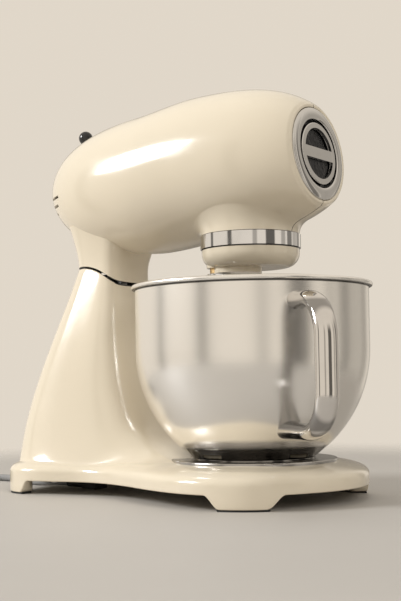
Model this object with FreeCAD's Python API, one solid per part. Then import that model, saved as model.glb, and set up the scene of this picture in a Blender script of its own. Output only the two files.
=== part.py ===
import FreeCAD
import Part
import math
import os

# A tilt-head stand mixer, in millimetres. The worktop is z = 0, the bowl and the planetary
# turn about the vertical axis x = y = 0, the nose points along +X and +Y is its left side.

Vector = FreeCAD.Vector
ALONG_X = Vector(1, 0, 0)
ALONG_Y = Vector(0, 1, 0)
ALONG_Z = Vector(0, 0, 1)

# Clearances
running_gap = 0.05
seat_gap = 0.3
drop_in_gap = 0.5

# Bowl
bowl_rim_radius = 111.0
bowl_rim_height = 195.5
bowl_rim_bead = 2.2
bowl_side_radius = 107.4
bowl_round_depth = 115.0
bowl_round_height = 137.0
bowl_floor_height = 47.6
bowl_wall = 1.3

# Bowl foot ring and its bayonet lugs
foot_ring_radius = 55.6
foot_ring_shoulder = 37.6
foot_ring_wall = 1.6
lug_count = 4
lug_angle = 18.0
notch_over_lug = 1.35
lug_height = 2.8
lug_reach = 3.6
bowl_twist = 25.0

# Bowl handle
handle_azimuth = -34.0
handle_reach = 157.0
handle_top = 174.0
handle_bottom = 65.0
handle_corner = 34.0
handle_width = 20.0
handle_thickness = 14.0

# Bowl plate
lock_plate_radius = 76.1
lock_plate_top = 36.8
lock_plate_thickness = 3.3
lock_plate_screw_circle = 69.0
lock_plate_screw_count = 3

# Base planform at the foot of the skirt: front centre, front corner, shoulder, widest place, waist,
# heel, rear
base_front = 104.6
base_front_corner_x = 81.5
base_front_corner_y = 69.0
base_shoulder_x = 60.5
base_shoulder_y = 94.0
base_widest_x = 20.0
base_half_width = 108.5
base_waist_x = -150.0
base_waist_half_width = 70.0
base_heel_x = -232.0
base_heel_half_width = 81.5
base_rear = -266.0
base_wall = 5.0
base_top_wall = 3.5
crown_reach = 38.0
skirt_top = 17.5

# Feet, arches between them, and the cover under the base
skirt_bottom = 13.0
foot_pad_thickness = 1.6
foot_wall = 16.0
side_arch_rear = -212.0
side_arch_front = 25.0
front_arch_half = 74.0
rear_arch_half = 60.0
arch_flare = 10.0
base_cover_thickness = 2.5
cover_post_radius = 6.0
cover_post_front_x = 58.0
cover_post_front_y = 52.0
cover_post_rear_x = -195.0
cover_post_rear_y = 60.0

# Column: outline where it meets the neck, and at its root
oblong_front_power = 5.0
oblong_rear_power = 2.8
column_top = 222.0
column_top_rear = -198.4
column_top_front = -143.0
column_top_half_width = 32.5
column_root_rear = -262.0
column_lean_power = 1.15
column_taper = 0.28
column_root_half_width = 69.0
column_front_lean = 24.5
column_front_flare = 66.5
column_wall = 5.0
pocket_wall = 3.4
column_deck = 188.0
column_deck_thickness = 4.0

# Split between column and neck, a cylinder across the mixer, and the tilt hinge
split_x = -182.6
split_z = 167.0
split_radius = 54.3
split_gap = 1.7
cradle_lip = 1.5
cradle_lip_depth = 10.0
tilt_x = -184.0
tilt_z = 237.0
hinge_pin_radius = 5.0
hinge_bush_wall = 2.0
ear_radius = 7.6
ear_inner = 13.0
ear_outer = 19.0
ear_depth = 10.5
hinge_pin_half = 27.0
pin_setback = 0.5
neck_boss_radius = 9.5

# Head release: button, latch bar, spring, quadrant
button_height = 200.2
button_radius = 7.5
button_proud = 5.5
button_travel = 5.0
button_collar = 1.6
button_collar_depth = 8.8
latch_bar_height = 5.5
latch_bar_half_width = 4.5
latch_tooth_height = 11.0
latch_tooth_length = 5.0
latch_gap = 0.8
quadrant_radius = 33.0
quadrant_overlap = 3.0
quadrant_half_width = 4.0
spring_wire = 0.5
spring_radius = 6.6
spring_turns = 4
spring_bends_per_turn = 14

# Neck
neck_top = 264.0
neck_spread = 9.0
neck_front_spread = 14.0
neck_wall = 4.0
neck_web_thickness = 5.0
neck_web_gap = 13.0

# Head: a round body that swells to its widest station and narrows to nose and tail
hub_height = 307.6
head_radius = 69.0
head_widest_x = -38.6
head_front_reach = 140.4
head_front_power = 2.62
head_rear_reach = 197.7
head_rear_power = 3.3
head_tail_drop = 6.6
head_drop_length = 80.0
head_wall = 2.6
nose_x = 74.3
nose_tilt = 5.2

# Nose ring and hub cover
nose_ring_radius = 41.75
nose_ring_bore = 31.0
nose_ring_depth = 7.0
nose_ring_crown = 1.8
nose_ring_flange = 2.0
nose_ring_flange_bore = 22.5
hub_cover_radius = 28.0
hub_cover_front = 1.2
hub_recess_radius = 23.0
hub_recess_depth = 4.2
hub_bar_setback = 0.4
hub_cover_edge = 0.9
hub_bar_height = 10.0
hub_cover_floor = 1.6

# Planetary: boss of the head, chrome band, ring gear, carrier cap
boss_radius = 45.4
boss_wall = 2.2
boss_bottom = 229.6
band_radius = 46.4
band_bottom = 228.3
band_top = 240.6
cap_radius = 45.2
cap_top = 227.9
cap_bottom = 211.0
cap_corner = 13.0
cap_wall = 3.0
lower_boss_radius = 22.5
lower_boss_offset = 12.5
lower_boss_bottom = 206.0
planet_azimuth = 216.9

# Gears
pressure_angle = 20.0
tooth_thinning = 0.16
tooth_depth = 1.25
tooth_rise = 0.9
planet_module = 1.25
ring_teeth = 62
planet_teeth = 15
ring_gear_bottom = 233.0
ring_gear_top = 247.0
planet_gear_height = 9.0
spur_module = 1.0
wheel_teeth = 36
pinion_teeth = 12
bevel_module = 2.0
bevel_pinion_teeth = 15
bevel_gear_teeth = 30
bevel_face = 10.0
bevel_hub_height = 8.0
bevel_pinion_hub_radius = 11.0

# Shafts and bearings
planet_shaft_radius = 7.0
planet_bearing_radius = 13.0
planet_bearing_height = 8.0
main_shaft_radius = 6.0
main_bearing_radius = 11.0
main_bearing_length = 7.0
socket_radius = 11.0
socket_length = 15.0
socket_square = 9.0
countershaft_radius = 4.0
countershaft_bush_radius = 6.5
spindle_radius = 6.5
spindle_tip_radius = 6.3
spindle_bush_wall = 2.0
spindle_collar_radius = 11.0
spindle_collar_bottom = 202.5
spindle_bottom = 168.0
cross_pin_height = 188.0
cross_pin_radius = 2.0
cross_pin_length = 23.0

# Gear housing
housing_floor = 253.0
housing_floor_thickness = 4.0
housing_half_width = 27.0
housing_front_x = 10.0
tongue_half_width = 12.0
pedestal_rear_x = -165.0
pedestal_front_x = -147.0
pedestal_half_width = 16.0
tower_radius = 18.0
tower_top = 283.0
flange_radius = 42.5
plate_thickness = 6.0
motor_plate_x = -106.0
gear_plate_x = -60.0
plate_half_width = 30.0
plate_top = 343.0
hub_bracket_x = 36.0
hub_bracket_length = 9.0
sleeve_radius = 26.0
sleeve_bore = 20.3
sleeve_front_x = 62.0
gear_side_gap = 4.0
wheel_width = 9.0
motor_gear_gap = 5.0

# Motor
stator_radius = 38.0
stator_bore = 21.2
stator_rear_x = -160.0
pole_height = 26.0
pole_half_thickness = 5.0
coil_overhang = 4.0
rotor_radius = 20.5
rotor_margin = 4.0
motor_shaft_radius = 4.0
motor_bearing_radius = 9.0
end_frame_x = -190.0
end_frame_thickness = 5.0
end_frame_radius = 29.5
end_post_circle = 25.5
end_post_radius = 3.0
commutator_radius = 11.0
commutator_length = 13.0
brush_width = 7.0
brush_depth = 14.0
fan_radius = 25.0
fan_length = 10.0
fan_space = 3.0
fan_blades = 9
fan_blade_thickness = 1.4

# Control board
board_length = 44.0
board_half_width = 20.0
board_thickness = 1.6
board_part_height = 5.0

# Speed slider: knob centre, slope of its slot and travel
knob_x = -204.7
knob_z = 361.0
knob_radius = 7.2
slot_slope = 17.0
slider_travel = 40.0
slider_stem_radius = 2.5
slider_block_length = 8.0
slider_block_half_width = 5.0
slider_block_height = 3.5
track_depth = 26.0
slot_floor = 8.0
track_thickness = 4.0
track_half_width = 8.0
track_lip = 3.0
track_margin = 1.0

# Air slots at the tail
vent_middles = [293.5, 285.6, 278.5]
vent_half_widths = [46.5, 42.5, 33.0]
vent_height = 2.4
vent_depth_x = -190.0

# Fasteners
screw_radius = 2.0
screw_head_radius = 4.0
screw_head_height = 2.4
screw_length = 14.0
shell_screw_front_x = 20.0
shell_screw_rear_x = -130.0
shell_boss_radius = 5.0
shell_boss_drop = 12.0

# Mains cord: it leaves the gland under the base towards the rear and ends in a coil and a plug
cord_radius = 3.5
gland_x = -196.0
gland_length = 18.0
gland_half_width = 9.0
gland_height = 11.8
relief_length = 26.0
relief_radius = 4.6
cord_exit_y = -12.0
cord_exit_z = 5.2
cord_route = [
    (-222.0, -12.0, 5.2),
    (-246.0, -12.0, 5.2),
    (-272.0, -11.0, 3.6),
    (-300.0, -1.0, 3.6),
    (-328.0, 8.0, 3.6),
    (-356.0, 8.0, 3.6),
    (-384.0, -5.5, 3.6),
]
cord_bend_share = 0.45
coil_x = -402.0
coil_y = -45.0
coil_turn_radius = 39.0
coil_height = 21.0
plug_length = 38.0
plug_half_width = 13.0
plug_height = 16.0
plug_angle = 0.0
plug_pin_radius = 2.4
plug_pin_length = 19.0
plug_pin_spacing = 19.0


def cylinder(radius, length, start, axis):
    return Part.makeCylinder(radius, length, start, axis)


def tube(outer, inner, length, start, axis):
    return cylinder(outer, length, start, axis).cut(cylinder(inner, length, start, axis))


def block(x_from, x_to, y_from, y_to, z_from, z_to):
    return Part.makeBox(x_to - x_from, y_to - y_from, z_to - z_from, Vector(x_from, y_from, z_from))


def prism(points, direction):
    return Part.Face(Part.makePolygon(points + points[:1])).extrude(direction)


def spun(points, centre=Vector(0, 0, 0), axis=ALONG_Z):
    """A closed outline of points turned once about an axis."""
    return Part.Face(Part.makePolygon(points + points[:1])).revolve(centre, axis, 360)


def closed_spline(points):
    curve = Part.BSplineCurve()
    curve.interpolate(Points=points, PeriodicFlag=True)
    return Part.Wire(curve.toShape())


def joined(shapes):
    return shapes[0].multiFuse(shapes[1:]).removeSplitter()


def polar(radius, degrees, height=0.0):
    angle = math.radians(degrees)
    return Vector(radius * math.cos(angle), radius * math.sin(angle), height)


def mirrored(shape):
    """The shape and its mirror image across the middle plane of the mixer."""
    return [shape, shape.mirror(Vector(0, 0, 0), ALONG_Y)]


# Base and column


def base_points():
    """The right half of the planform from front to rear, then its mirror image back to the front."""
    half = [
        (base_front, 0.0),
        (base_front_corner_x + (base_front - base_front_corner_x) * 0.72, base_front_corner_y / 2),
        (base_front_corner_x, base_front_corner_y),
        (base_shoulder_x, base_shoulder_y),
        (base_widest_x, base_half_width),
        ((base_widest_x + base_waist_x) / 2, (base_half_width + base_waist_half_width) / 2),
        (base_waist_x, base_waist_half_width),
        (base_heel_x, base_heel_half_width),
        (base_rear + (base_heel_x - base_rear) * 0.22, base_heel_half_width * 0.66),
        (base_rear, 0.0),
    ]
    right = [(x, -y) for x, y in half]
    left = [(x, y) for x, y in half[-2:0:-1]]
    return right + left


def base_outline(inset, height):
    """The planform drawn in by an inset along its normals, at a height."""
    points = base_points()
    count = len(points)
    moved = []
    for index, (x, y) in enumerate(points):
        before = points[index - 1]
        after = points[(index + 1) % count]
        along_x = after[0] - before[0]
        along_y = after[1] - before[1]
        length = math.hypot(along_x, along_y)
        moved.append(Vector(x + inset * along_y / length, y - inset * along_x / length, height))
    return closed_spline(moved)


def base_prism(inset, bottom, top):
    return Part.Face(base_outline(inset, bottom)).extrude(Vector(0, 0, top - bottom))


def crowned_base(inset, drop, bottom):
    """A straight skirt that turns over into a gently rising top, drawn in by an inset and lowered by a
    drop."""
    rows = 7
    turn = skirt_top - drop
    crown_height = lock_plate_top - lock_plate_thickness - skirt_top
    wires = []
    for row in range(rows):
        share = row / (rows - 1)
        wires.append(base_outline(inset + crown_reach * share ** 3, turn + crown_height * share ** 0.8))
    return base_prism(inset, bottom, turn).fuse(Part.makeLoft(wires, True, False))


def arches():
    """Trapezoid openings under the skirt that leave four feet at the corners."""
    spare = base_wall
    far = 2 * base_half_width + 2 * spare
    side = [
        Vector(side_arch_rear, -far / 2, skirt_bottom),
        Vector(side_arch_rear - arch_flare / 2, -far / 2, -foot_pad_thickness),
        Vector(side_arch_front + arch_flare, -far / 2, -foot_pad_thickness),
        Vector(side_arch_front, -far / 2, skirt_bottom),
    ]
    shapes = [prism(side, Vector(0, far, 0))]
    ends = (
        (0.0, base_front + spare, front_arch_half),
        (base_rear - spare, spare - base_rear, rear_arch_half),
    )
    for start, length, half in ends:
        end = [
            Vector(start, -half, skirt_bottom),
            Vector(start, -half - arch_flare, -foot_pad_thickness),
            Vector(start, half + arch_flare, -foot_pad_thickness),
            Vector(start, half, skirt_bottom),
        ]
        shapes.append(prism(end, Vector(length, 0, 0)))
    return joined(shapes)


def oblong(rear, front, half_width, height, taper=0.0):
    """A rounded oblong between two places along X: two half superellipses, tighter at the front corners,
    narrowed by a taper towards the front."""
    count = 24
    middle = (rear + front) / 2
    reach = (front - rear) / 2
    points = []
    for index in range(count):
        angle = 2 * math.pi * (index + 0.5) / count
        power = 2 / (oblong_front_power if math.cos(angle) > 0 else oblong_rear_power)
        across = math.copysign(abs(math.cos(angle)) ** power, math.cos(angle))
        aside = math.copysign(abs(math.sin(angle)) ** power, math.sin(angle))
        points.append(Vector(middle + reach * across, half_width * aside * (1 - taper * across), height))
    return closed_spline(points)


def column_rear(height):
    share = max(0.0, (column_top - height) / (column_top - skirt_bottom))
    lean = math.sin(min(1.0, share) * math.pi / 2) ** column_lean_power
    return column_top_rear + (column_root_rear - column_top_rear) * lean


def column_section(height, inset):
    """The column leans back like a sine, widens evenly and flares forward towards the base."""
    share = max(0.0, (column_top - height) / (column_top - skirt_bottom))
    front = column_top_front + column_front_lean * share ** 1.5 + column_front_flare * share ** 5
    half_width = column_top_half_width + (column_root_half_width - column_top_half_width) * share
    return oblong(column_rear(height) + inset, front - inset, half_width - inset, height,
                  column_taper * share)


def column_loft(bottom, top, inset, rows):
    heights = [top + (bottom - top) * row / (rows - 1) for row in range(rows)]
    return Part.makeLoft([column_section(height, inset) for height in heights], True, False)


def split_cylinder(radius):
    width = 4 * column_root_half_width
    return cylinder(radius, width, Vector(split_x, -width / 2, split_z), ALONG_Y)


def above_split():
    """Everything over the split cylinder, which trims the top of the column."""
    span = 4 * split_radius
    over = block(split_x - span, split_x + span, -span, span, split_z, column_top + span)
    return over.cut(split_cylinder(split_radius))


def cover_posts():
    places = [(cover_post_front_x, cover_post_front_y), (cover_post_rear_x, cover_post_rear_y)]
    return [Vector(x, side * y, 0) for x, y in places for side in (-1, 1)]


def plate_screw_places():
    step = 360 / lock_plate_screw_count
    return [polar(lock_plate_screw_circle, step * index + 60) for index in range(lock_plate_screw_count)]


def recess_floor():
    return lock_plate_top - lock_plate_thickness - lug_height - seat_gap - drop_in_gap


def hinge_ears():
    """Two ears that stand on the deck inside the neck and hold the tilt pin."""
    width = ear_outer - ear_inner
    eye = cylinder(ear_radius, width, Vector(tilt_x, ear_inner, tilt_z), ALONG_Y)
    leg = block(tilt_x + ear_depth * 0.4, tilt_x + ear_depth, ear_inner, ear_outer, column_deck, tilt_z)
    hole = cylinder(hinge_pin_radius + running_gap, width, Vector(tilt_x, ear_inner, tilt_z), ALONG_Y)
    return mirrored(eye.fuse(leg).cut(hole))


def latch_bar_bottom():
    return button_height - latch_bar_height / 2


def guide_front():
    return tilt_x + ear_depth


def guide_rear():
    return tilt_x + ear_depth / 8


def stand_casting():
    pad_top = lock_plate_top - lock_plate_thickness
    skirted = crowned_base(0, 0, foot_pad_thickness).cut(arches())
    skirted = skirted.cut(base_prism(foot_wall, 0, skirt_bottom))
    body = skirted.fuse(column_loft(skirt_bottom, column_top, 0, 11))
    deck_underside = column_deck - column_deck_thickness
    hollow = crowned_base(base_wall, base_top_wall, skirt_bottom)
    hollow = hollow.fuse(column_loft(skirt_bottom + base_top_wall, deck_underside, column_wall, 9))
    body = body.cut(hollow)
    body = body.cut(column_loft(column_deck, column_top + 1, pocket_wall, 4))
    body = body.cut(column_loft(column_top - cradle_lip_depth, column_top + 1, cradle_lip, 4))
    seat_radius = foot_ring_radius + lug_reach + 2 * drop_in_gap
    body = body.fuse(cylinder(seat_radius + base_wall, pad_top - recess_floor() + base_wall,
                              Vector(0, 0, recess_floor() - base_wall), ALONG_Z))
    body = body.cut(cylinder(seat_radius, base_wall * 4, Vector(0, 0, recess_floor()), ALONG_Z))
    plate_seat = cylinder(lock_plate_radius + seat_gap, base_wall, Vector(0, 0, pad_top), ALONG_Z)
    body = body.cut(plate_seat)
    body = body.cut(above_split())
    cover_top = skirt_bottom + base_cover_thickness
    for place in cover_posts():
        top = pad_top - base_wall * 0.6
        post = cylinder(cover_post_radius, top - cover_top, place + Vector(0, 0, cover_top), ALONG_Z)
        body = body.fuse(post)
        body = body.cut(cylinder(screw_radius + running_gap, screw_length,
                                 place + Vector(0, 0, skirt_bottom), ALONG_Z))
    for place in plate_screw_places():
        top = pad_top
        boss = cylinder(cover_post_radius, base_wall * 2, place + Vector(0, 0, top - base_wall * 2.4),
                        ALONG_Z)
        body = body.fuse(boss)
        body = body.cut(cylinder(screw_radius + running_gap, screw_length,
                                 place + Vector(0, 0, lock_plate_top - screw_length), ALONG_Z))
    guide = block(guide_rear(), guide_front(), -2 * latch_bar_half_width, 2 * latch_bar_half_width,
                  column_deck, latch_bar_bottom() - seat_gap)
    body = body.multiFuse(hinge_ears() + [guide])
    button_hole = cylinder(button_radius + seat_gap, 8 * column_wall,
                           Vector(column_rear(button_height) - 4 * column_wall, 0, button_height), ALONG_X)
    return body.cut(button_hole)


def base_cover():
    """A plate inside the skirt that lies on the tops of the feet."""
    plate = base_prism(base_wall + drop_in_gap, skirt_bottom, skirt_bottom + base_cover_thickness)
    for place in cover_posts():
        plate = plate.cut(cylinder(screw_radius + running_gap, base_cover_thickness,
                                   place + Vector(0, 0, skirt_bottom), ALONG_Z))
    return plate


def screw(head_at, axis, head_height=screw_head_height):
    """A pan-head screw: the head lies before the seat and the shank runs along the axis."""
    head = cylinder(screw_head_radius, head_height, head_at - axis * head_height, axis)
    return head.fuse(cylinder(screw_radius, screw_length - head_height, head_at, axis))


def base_cover_screws():
    return [screw(place + Vector(0, 0, skirt_bottom), ALONG_Z) for place in cover_posts()]


def rubber_feet():
    """Pads under the four feet, drawn in a little from their edges."""
    margin = 3 * seat_gap
    ring = base_prism(margin, 0,
                      foot_pad_thickness).cut(base_prism(foot_wall - margin, 0, foot_pad_thickness))
    return ring.cut(arches()).Solids


def lock_plate():
    bottom = lock_plate_top - lock_plate_thickness
    hole = foot_ring_radius + drop_in_gap
    plate = tube(lock_plate_radius, hole, lock_plate_thickness, Vector(0, 0, bottom), ALONG_Z)
    rim = [edge for edge in plate.Edges if abs(edge.BoundBox.XLength - 2 * lock_plate_radius) < 0.01
           and edge.BoundBox.ZMin > bottom + lock_plate_thickness / 2]
    plate = plate.makeFillet(lock_plate_thickness * 0.4, rim)
    for index in range(lug_count):
        middle = handle_azimuth + 360 / lug_count * index + bowl_twist
        notch = wedge(hole + lug_reach + drop_in_gap, middle, lug_angle * notch_over_lug, bottom,
                      lock_plate_thickness)
        plate = plate.cut(notch)
    for place in plate_screw_places():
        plate = plate.cut(cylinder(screw_radius + running_gap, lock_plate_thickness,
                                   place + Vector(0, 0, bottom), ALONG_Z))
        plate = plate.cut(cylinder(screw_head_radius + running_gap, screw_head_height,
                                   place + Vector(0, 0, lock_plate_top - screw_head_height), ALONG_Z))
    return plate


def lock_plate_screws():
    down = Vector(0, 0, -1)
    return [screw(place + Vector(0, 0, lock_plate_top - screw_head_height), down)
            for place in plate_screw_places()]


def wedge(radius, middle, angle, bottom, height):
    """A pie slice about the bowl's axis."""
    corners = [Vector(0, 0, bottom)]
    corners += [polar(radius, middle + angle * share, bottom) for share in (-0.5, 0.0, 0.5)]
    arc = Part.Arc(corners[1], corners[2], corners[3]).toShape()
    edges = [Part.makeLine(corners[0], corners[1]), arc, Part.makeLine(corners[3], corners[0])]
    return Part.Face(Part.Wire(edges)).extrude(Vector(0, 0, height))


# Bowl


def bowl_profile(inset, floor, top):
    """Half section of the bowl: flat floor, elliptical flank, straight side, closed along the axis."""
    centre = Vector(0, 0, bowl_round_height)
    across = bowl_side_radius - inset
    deep = bowl_round_depth - inset
    flank = Part.Ellipse(Vector(0, 0, bowl_round_height + deep), Vector(across, 0, bowl_round_height),
                         centre)
    floor_radius = across * math.sqrt(1 - ((bowl_round_height - floor) / deep) ** 2)
    floor_edge = Vector(floor_radius, 0, floor)
    side_foot = Vector(across, 0, bowl_round_height)
    ends = sorted([flank.parameter(floor_edge), flank.parameter(side_foot)])
    edges = [
        Part.makeLine(Vector(0, 0, floor), floor_edge),
        Part.ArcOfEllipse(flank, ends[0], ends[1]).toShape(),
        Part.makeLine(side_foot, Vector(across, 0, top)),
        Part.makeLine(Vector(across, 0, top), Vector(0, 0, top)),
        Part.makeLine(Vector(0, 0, top), Vector(0, 0, floor)),
    ]
    return Part.Face(Part.Wire(Part.__sortEdges__(edges)))


def bowl_body(inset, floor, top):
    return bowl_profile(inset, floor, top).revolve(Vector(0, 0, 0), ALONG_Z, 360)


def mixing_bowl():
    top = bowl_rim_height - bowl_rim_bead
    shell = bowl_body(0, bowl_floor_height, top)
    shell = shell.cut(bowl_body(bowl_wall, bowl_floor_height + bowl_wall, bowl_rim_height + bowl_rim_bead))
    bead = Part.makeTorus(bowl_rim_radius - bowl_rim_bead, bowl_rim_bead, Vector(0, 0, top), ALONG_Z)
    return shell.fuse(bead)


def bowl_foot_ring():
    """A cone that steps in under the bowl, with lugs that lock under the plate."""
    drop = (bowl_round_height - bowl_floor_height) / bowl_round_depth
    across = bowl_side_radius * math.sqrt(1 - drop ** 2)
    bottom = recess_floor() + seat_gap
    inner = foot_ring_radius - foot_ring_wall
    ring = spun([
        Vector(across, 0, bowl_floor_height),
        Vector(foot_ring_radius, 0, foot_ring_shoulder),
        Vector(foot_ring_radius, 0, bottom),
        Vector(inner, 0, bottom),
        Vector(inner, 0, foot_ring_shoulder + foot_ring_wall / 2),
        Vector(across - 2 * foot_ring_wall, 0, bowl_floor_height),
    ])
    lugs = []
    for index in range(lug_count):
        middle = handle_azimuth + 360 / lug_count * index
        slice_shape = wedge(foot_ring_radius + lug_reach, middle, lug_angle, bottom, lug_height - seat_gap)
        lugs.append(slice_shape.cut(cylinder(inner, lug_height, Vector(0, 0, bottom), ALONG_Z)))
    return joined([ring] + lugs)


def rounded_path(points, radii):
    """Straight runs joined by tangent arcs of the given radii at the inner points."""
    edges = []
    start = points[0]
    for corner, after, radius in zip(points[1:-1], points[2:], radii):
        towards = (start - corner).normalize()
        away = (after - corner).normalize()
        half = math.acos(max(-1.0, min(1.0, towards.dot(away)))) / 2
        reach = radius / math.tan(half)
        first = corner + towards * reach
        last = corner + away * reach
        middle_way = (towards + away).normalize()
        centre = corner + middle_way * (radius / math.sin(half))
        edges.append(Part.LineSegment(start, first).toShape())
        edges.append(Part.Arc(first, centre - middle_way * radius, last).toShape())
        start = last
    edges.append(Part.LineSegment(start, points[-1]).toShape())
    return Part.Wire(edges)


def bowl_handle():
    """An oval bar bent to a D, its two ends trimmed to the side of the bowl."""
    inside = bowl_side_radius * 0.6
    corners = [
        polar(inside, handle_azimuth, handle_top),
        polar(handle_reach, handle_azimuth, handle_top),
        polar(handle_reach, handle_azimuth, handle_bottom),
        polar(inside, handle_azimuth, handle_bottom),
    ]
    path = rounded_path(corners, [handle_corner, handle_corner])
    aside = polar(handle_width / 2, handle_azimuth + 90)
    upward = Vector(0, 0, handle_thickness / 2)
    section = Part.Wire(Part.Ellipse(corners[0] + aside, corners[0] + upward, corners[0]).toShape())
    bar = path.makePipeShell([section], True, False)
    return bar.cut(bowl_body(0, bowl_floor_height, bowl_rim_height))


# Neck and tilt hinge


def neck_section(height, inset):
    rise = max(0.0, (height - column_top) / (neck_top - column_top))
    spread = neck_spread * rise ** 1.5 - inset
    reach = neck_front_spread * rise ** 1.2 - inset
    return oblong(column_top_rear - spread, column_top_front + reach, column_top_half_width + spread,
                  height)


def neck_loft(inset, bottom, top):
    rows = 7
    heights = [bottom + (top - bottom) * row / (rows - 1) for row in range(rows)]
    return Part.makeLoft([neck_section(height, inset) for height in heights], True, False)


def neck_casting():
    bottom = split_z + split_radius / 3
    inside = neck_loft(neck_wall, bottom - 1, neck_top + 1)
    walls = neck_loft(0, bottom, neck_top).cut(inside)
    web = block(tilt_x + neck_web_gap, column_top_front, -column_top_half_width, column_top_half_width,
                tilt_z - neck_web_thickness, tilt_z).common(neck_loft(neck_wall / 2, bottom, neck_top))
    boss_from = ear_outer + seat_gap
    boss_to = column_top_half_width - neck_wall / 4
    boss = cylinder(neck_boss_radius, boss_to - boss_from, Vector(tilt_x, boss_from, tilt_z), ALONG_Y)
    boss = boss.common(neck_loft(neck_wall / 4, bottom, neck_top))
    body = joined([walls, web] + mirrored(boss))
    body = body.cut(split_cylinder(split_radius + split_gap))
    body = body.cut(head_body(head_wall * 2))
    bush_hole = cylinder(hinge_pin_radius + hinge_bush_wall, 2 * hinge_pin_half,
                         Vector(tilt_x, -hinge_pin_half, tilt_z), ALONG_Y)
    body = body.cut(bush_hole)
    for place in pedestal_bolts():
        body = body.cut(cylinder(screw_radius + running_gap, screw_length, place, ALONG_Z))
    return body


def pedestal_bolts():
    """Four screws come up through the neck's web into the pedestal of the gear housing."""
    length = pedestal_front_x - pedestal_rear_x
    places = []
    for share in (0.3, 0.8):
        for side in (-1, 1):
            places.append(Vector(pedestal_rear_x + length * share, side * pedestal_half_width * 0.6,
                                 tilt_z - neck_web_thickness))
    return places


def housing_screws():
    return [screw(place, ALONG_Z) for place in pedestal_bolts()]


def tilt_hinge_pin():
    return cylinder(hinge_pin_radius, 2 * (hinge_pin_half - pin_setback),
                    Vector(tilt_x, pin_setback - hinge_pin_half, tilt_z), ALONG_Y)


def hinge_bushes():
    start = ear_outer + seat_gap
    length = hinge_pin_half - start
    bush = tube(hinge_pin_radius + hinge_bush_wall, hinge_pin_radius + running_gap, length,
                Vector(tilt_x, start, tilt_z), ALONG_Y)
    return mirrored(bush)


def tilt_quadrant():
    """A plate under the neck's web whose round edge faces the tooth of the latch bar."""
    disc = cylinder(quadrant_radius, 2 * quadrant_half_width,
                    Vector(tilt_x, -quadrant_half_width, tilt_z), ALONG_Y)
    keep = block(tilt_x + neck_web_gap - quadrant_overlap, tilt_x + quadrant_radius,
                 -quadrant_half_width, quadrant_half_width,
                 tilt_z - quadrant_radius, tilt_z - neck_web_thickness)
    return disc.common(keep)


# Head release


def release_button():
    wall_x = column_rear(button_height)
    collar_x = wall_x + button_collar_depth
    body = cylinder(button_radius, collar_x - wall_x + button_proud,
                    Vector(wall_x - button_proud, 0, button_height), ALONG_X)
    face = [edge for edge in body.Edges if edge.BoundBox.XMax < wall_x]
    body = body.makeFillet(button_radius * 0.2, face[:1])
    collar = cylinder(button_radius + button_collar, button_collar, Vector(collar_x, 0, button_height),
                      ALONG_X)
    return joined([body, collar])


def bar_rear_x():
    return column_rear(button_height) + button_collar_depth + button_collar


def latch_bar():
    bottom = latch_bar_bottom()
    top = bottom + latch_bar_height
    rise = top + latch_tooth_height
    drop = tilt_z - rise
    tooth_rear = tilt_x + math.sqrt(quadrant_radius ** 2 - drop ** 2) + latch_gap
    bar = block(bar_rear_x(), tooth_rear + latch_tooth_length, -latch_bar_half_width, latch_bar_half_width,
                bottom, top)
    tooth = block(tooth_rear, tooth_rear + latch_tooth_length, -latch_bar_half_width, latch_bar_half_width,
                  bottom, rise)
    return joined([bar, tooth])


def button_spring():
    """A coil round the latch bar between the button's collar and the guide on the deck."""
    start = bar_rear_x() + 2 * spring_wire
    length = guide_rear() - start - 2 * spring_wire
    bends = spring_turns * spring_bends_per_turn
    points = []
    for bend in range(bends + 1):
        place = polar(spring_radius, 360.0 * bend / spring_bends_per_turn)
        points.append(place + Vector(0, 0, length * bend / bends))
    section = Part.Wire(Part.makeCircle(spring_wire, points[0], points[1] - points[0]))
    mitred = 1
    coil = Part.makePolygon(points).makePipeShell([section], True, False, mitred)
    coil.Placement = FreeCAD.Placement(Vector(start, 0, button_height), FreeCAD.Rotation(ALONG_Y, 90))
    return coil


# Head shells


def head_centre(x):
    """The middle line falls gently behind the widest station."""
    share = min(1.0, max(0.0, (head_widest_x - x) / head_drop_length))
    return hub_height - head_tail_drop * share * share * (3 - 2 * share)


def head_station_radius(x, inset):
    if x > head_widest_x:
        share = (x - head_widest_x) / (head_front_reach - inset)
        power = head_front_power
    else:
        share = (head_widest_x - x) / (head_rear_reach - inset)
        power = head_rear_power
    return (head_radius - inset) * math.sqrt(1 - share ** power)


def head_section(x, inset):
    tilt = math.radians(nose_tilt) * max(0.0, x / nose_x) ** 2
    facing = Vector(math.cos(tilt), 0, math.sin(tilt))
    circle = Part.Circle(Vector(x, 0, head_centre(x)), facing, head_station_radius(x, inset))
    return Part.Wire(circle.toShape())


def head_stations(inset, front):
    """Even steps ahead of the widest station, sine steps behind it so the tail closes round."""
    ahead = 7
    behind = 11
    stations = [front + (head_widest_x - front) * step / ahead for step in range(ahead)]
    last = math.radians(87.0)
    reach = head_rear_reach - inset
    stations += [head_widest_x - reach * math.sin(last * step / behind) for step in range(behind + 1)]
    return stations


def head_body(inset, front=nose_x):
    return Part.makeLoft([head_section(x, inset) for x in head_stations(inset, front)], True, False)


def at_nose(shape):
    """Places a shape made round the X axis at the centre of the tilted nose plane."""
    shape.Placement = FreeCAD.Placement(Vector(nose_x, 0, hub_height),
                                        FreeCAD.Rotation(ALONG_Y, -nose_tilt))
    return shape


def along_slot(shape):
    """Places a shape made at the origin along the slope of the speed slot, with the knob at the origin."""
    shape.Placement = FreeCAD.Placement(Vector(knob_x, 0, knob_z), FreeCAD.Rotation(ALONG_Y, -slot_slope))
    return shape


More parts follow.
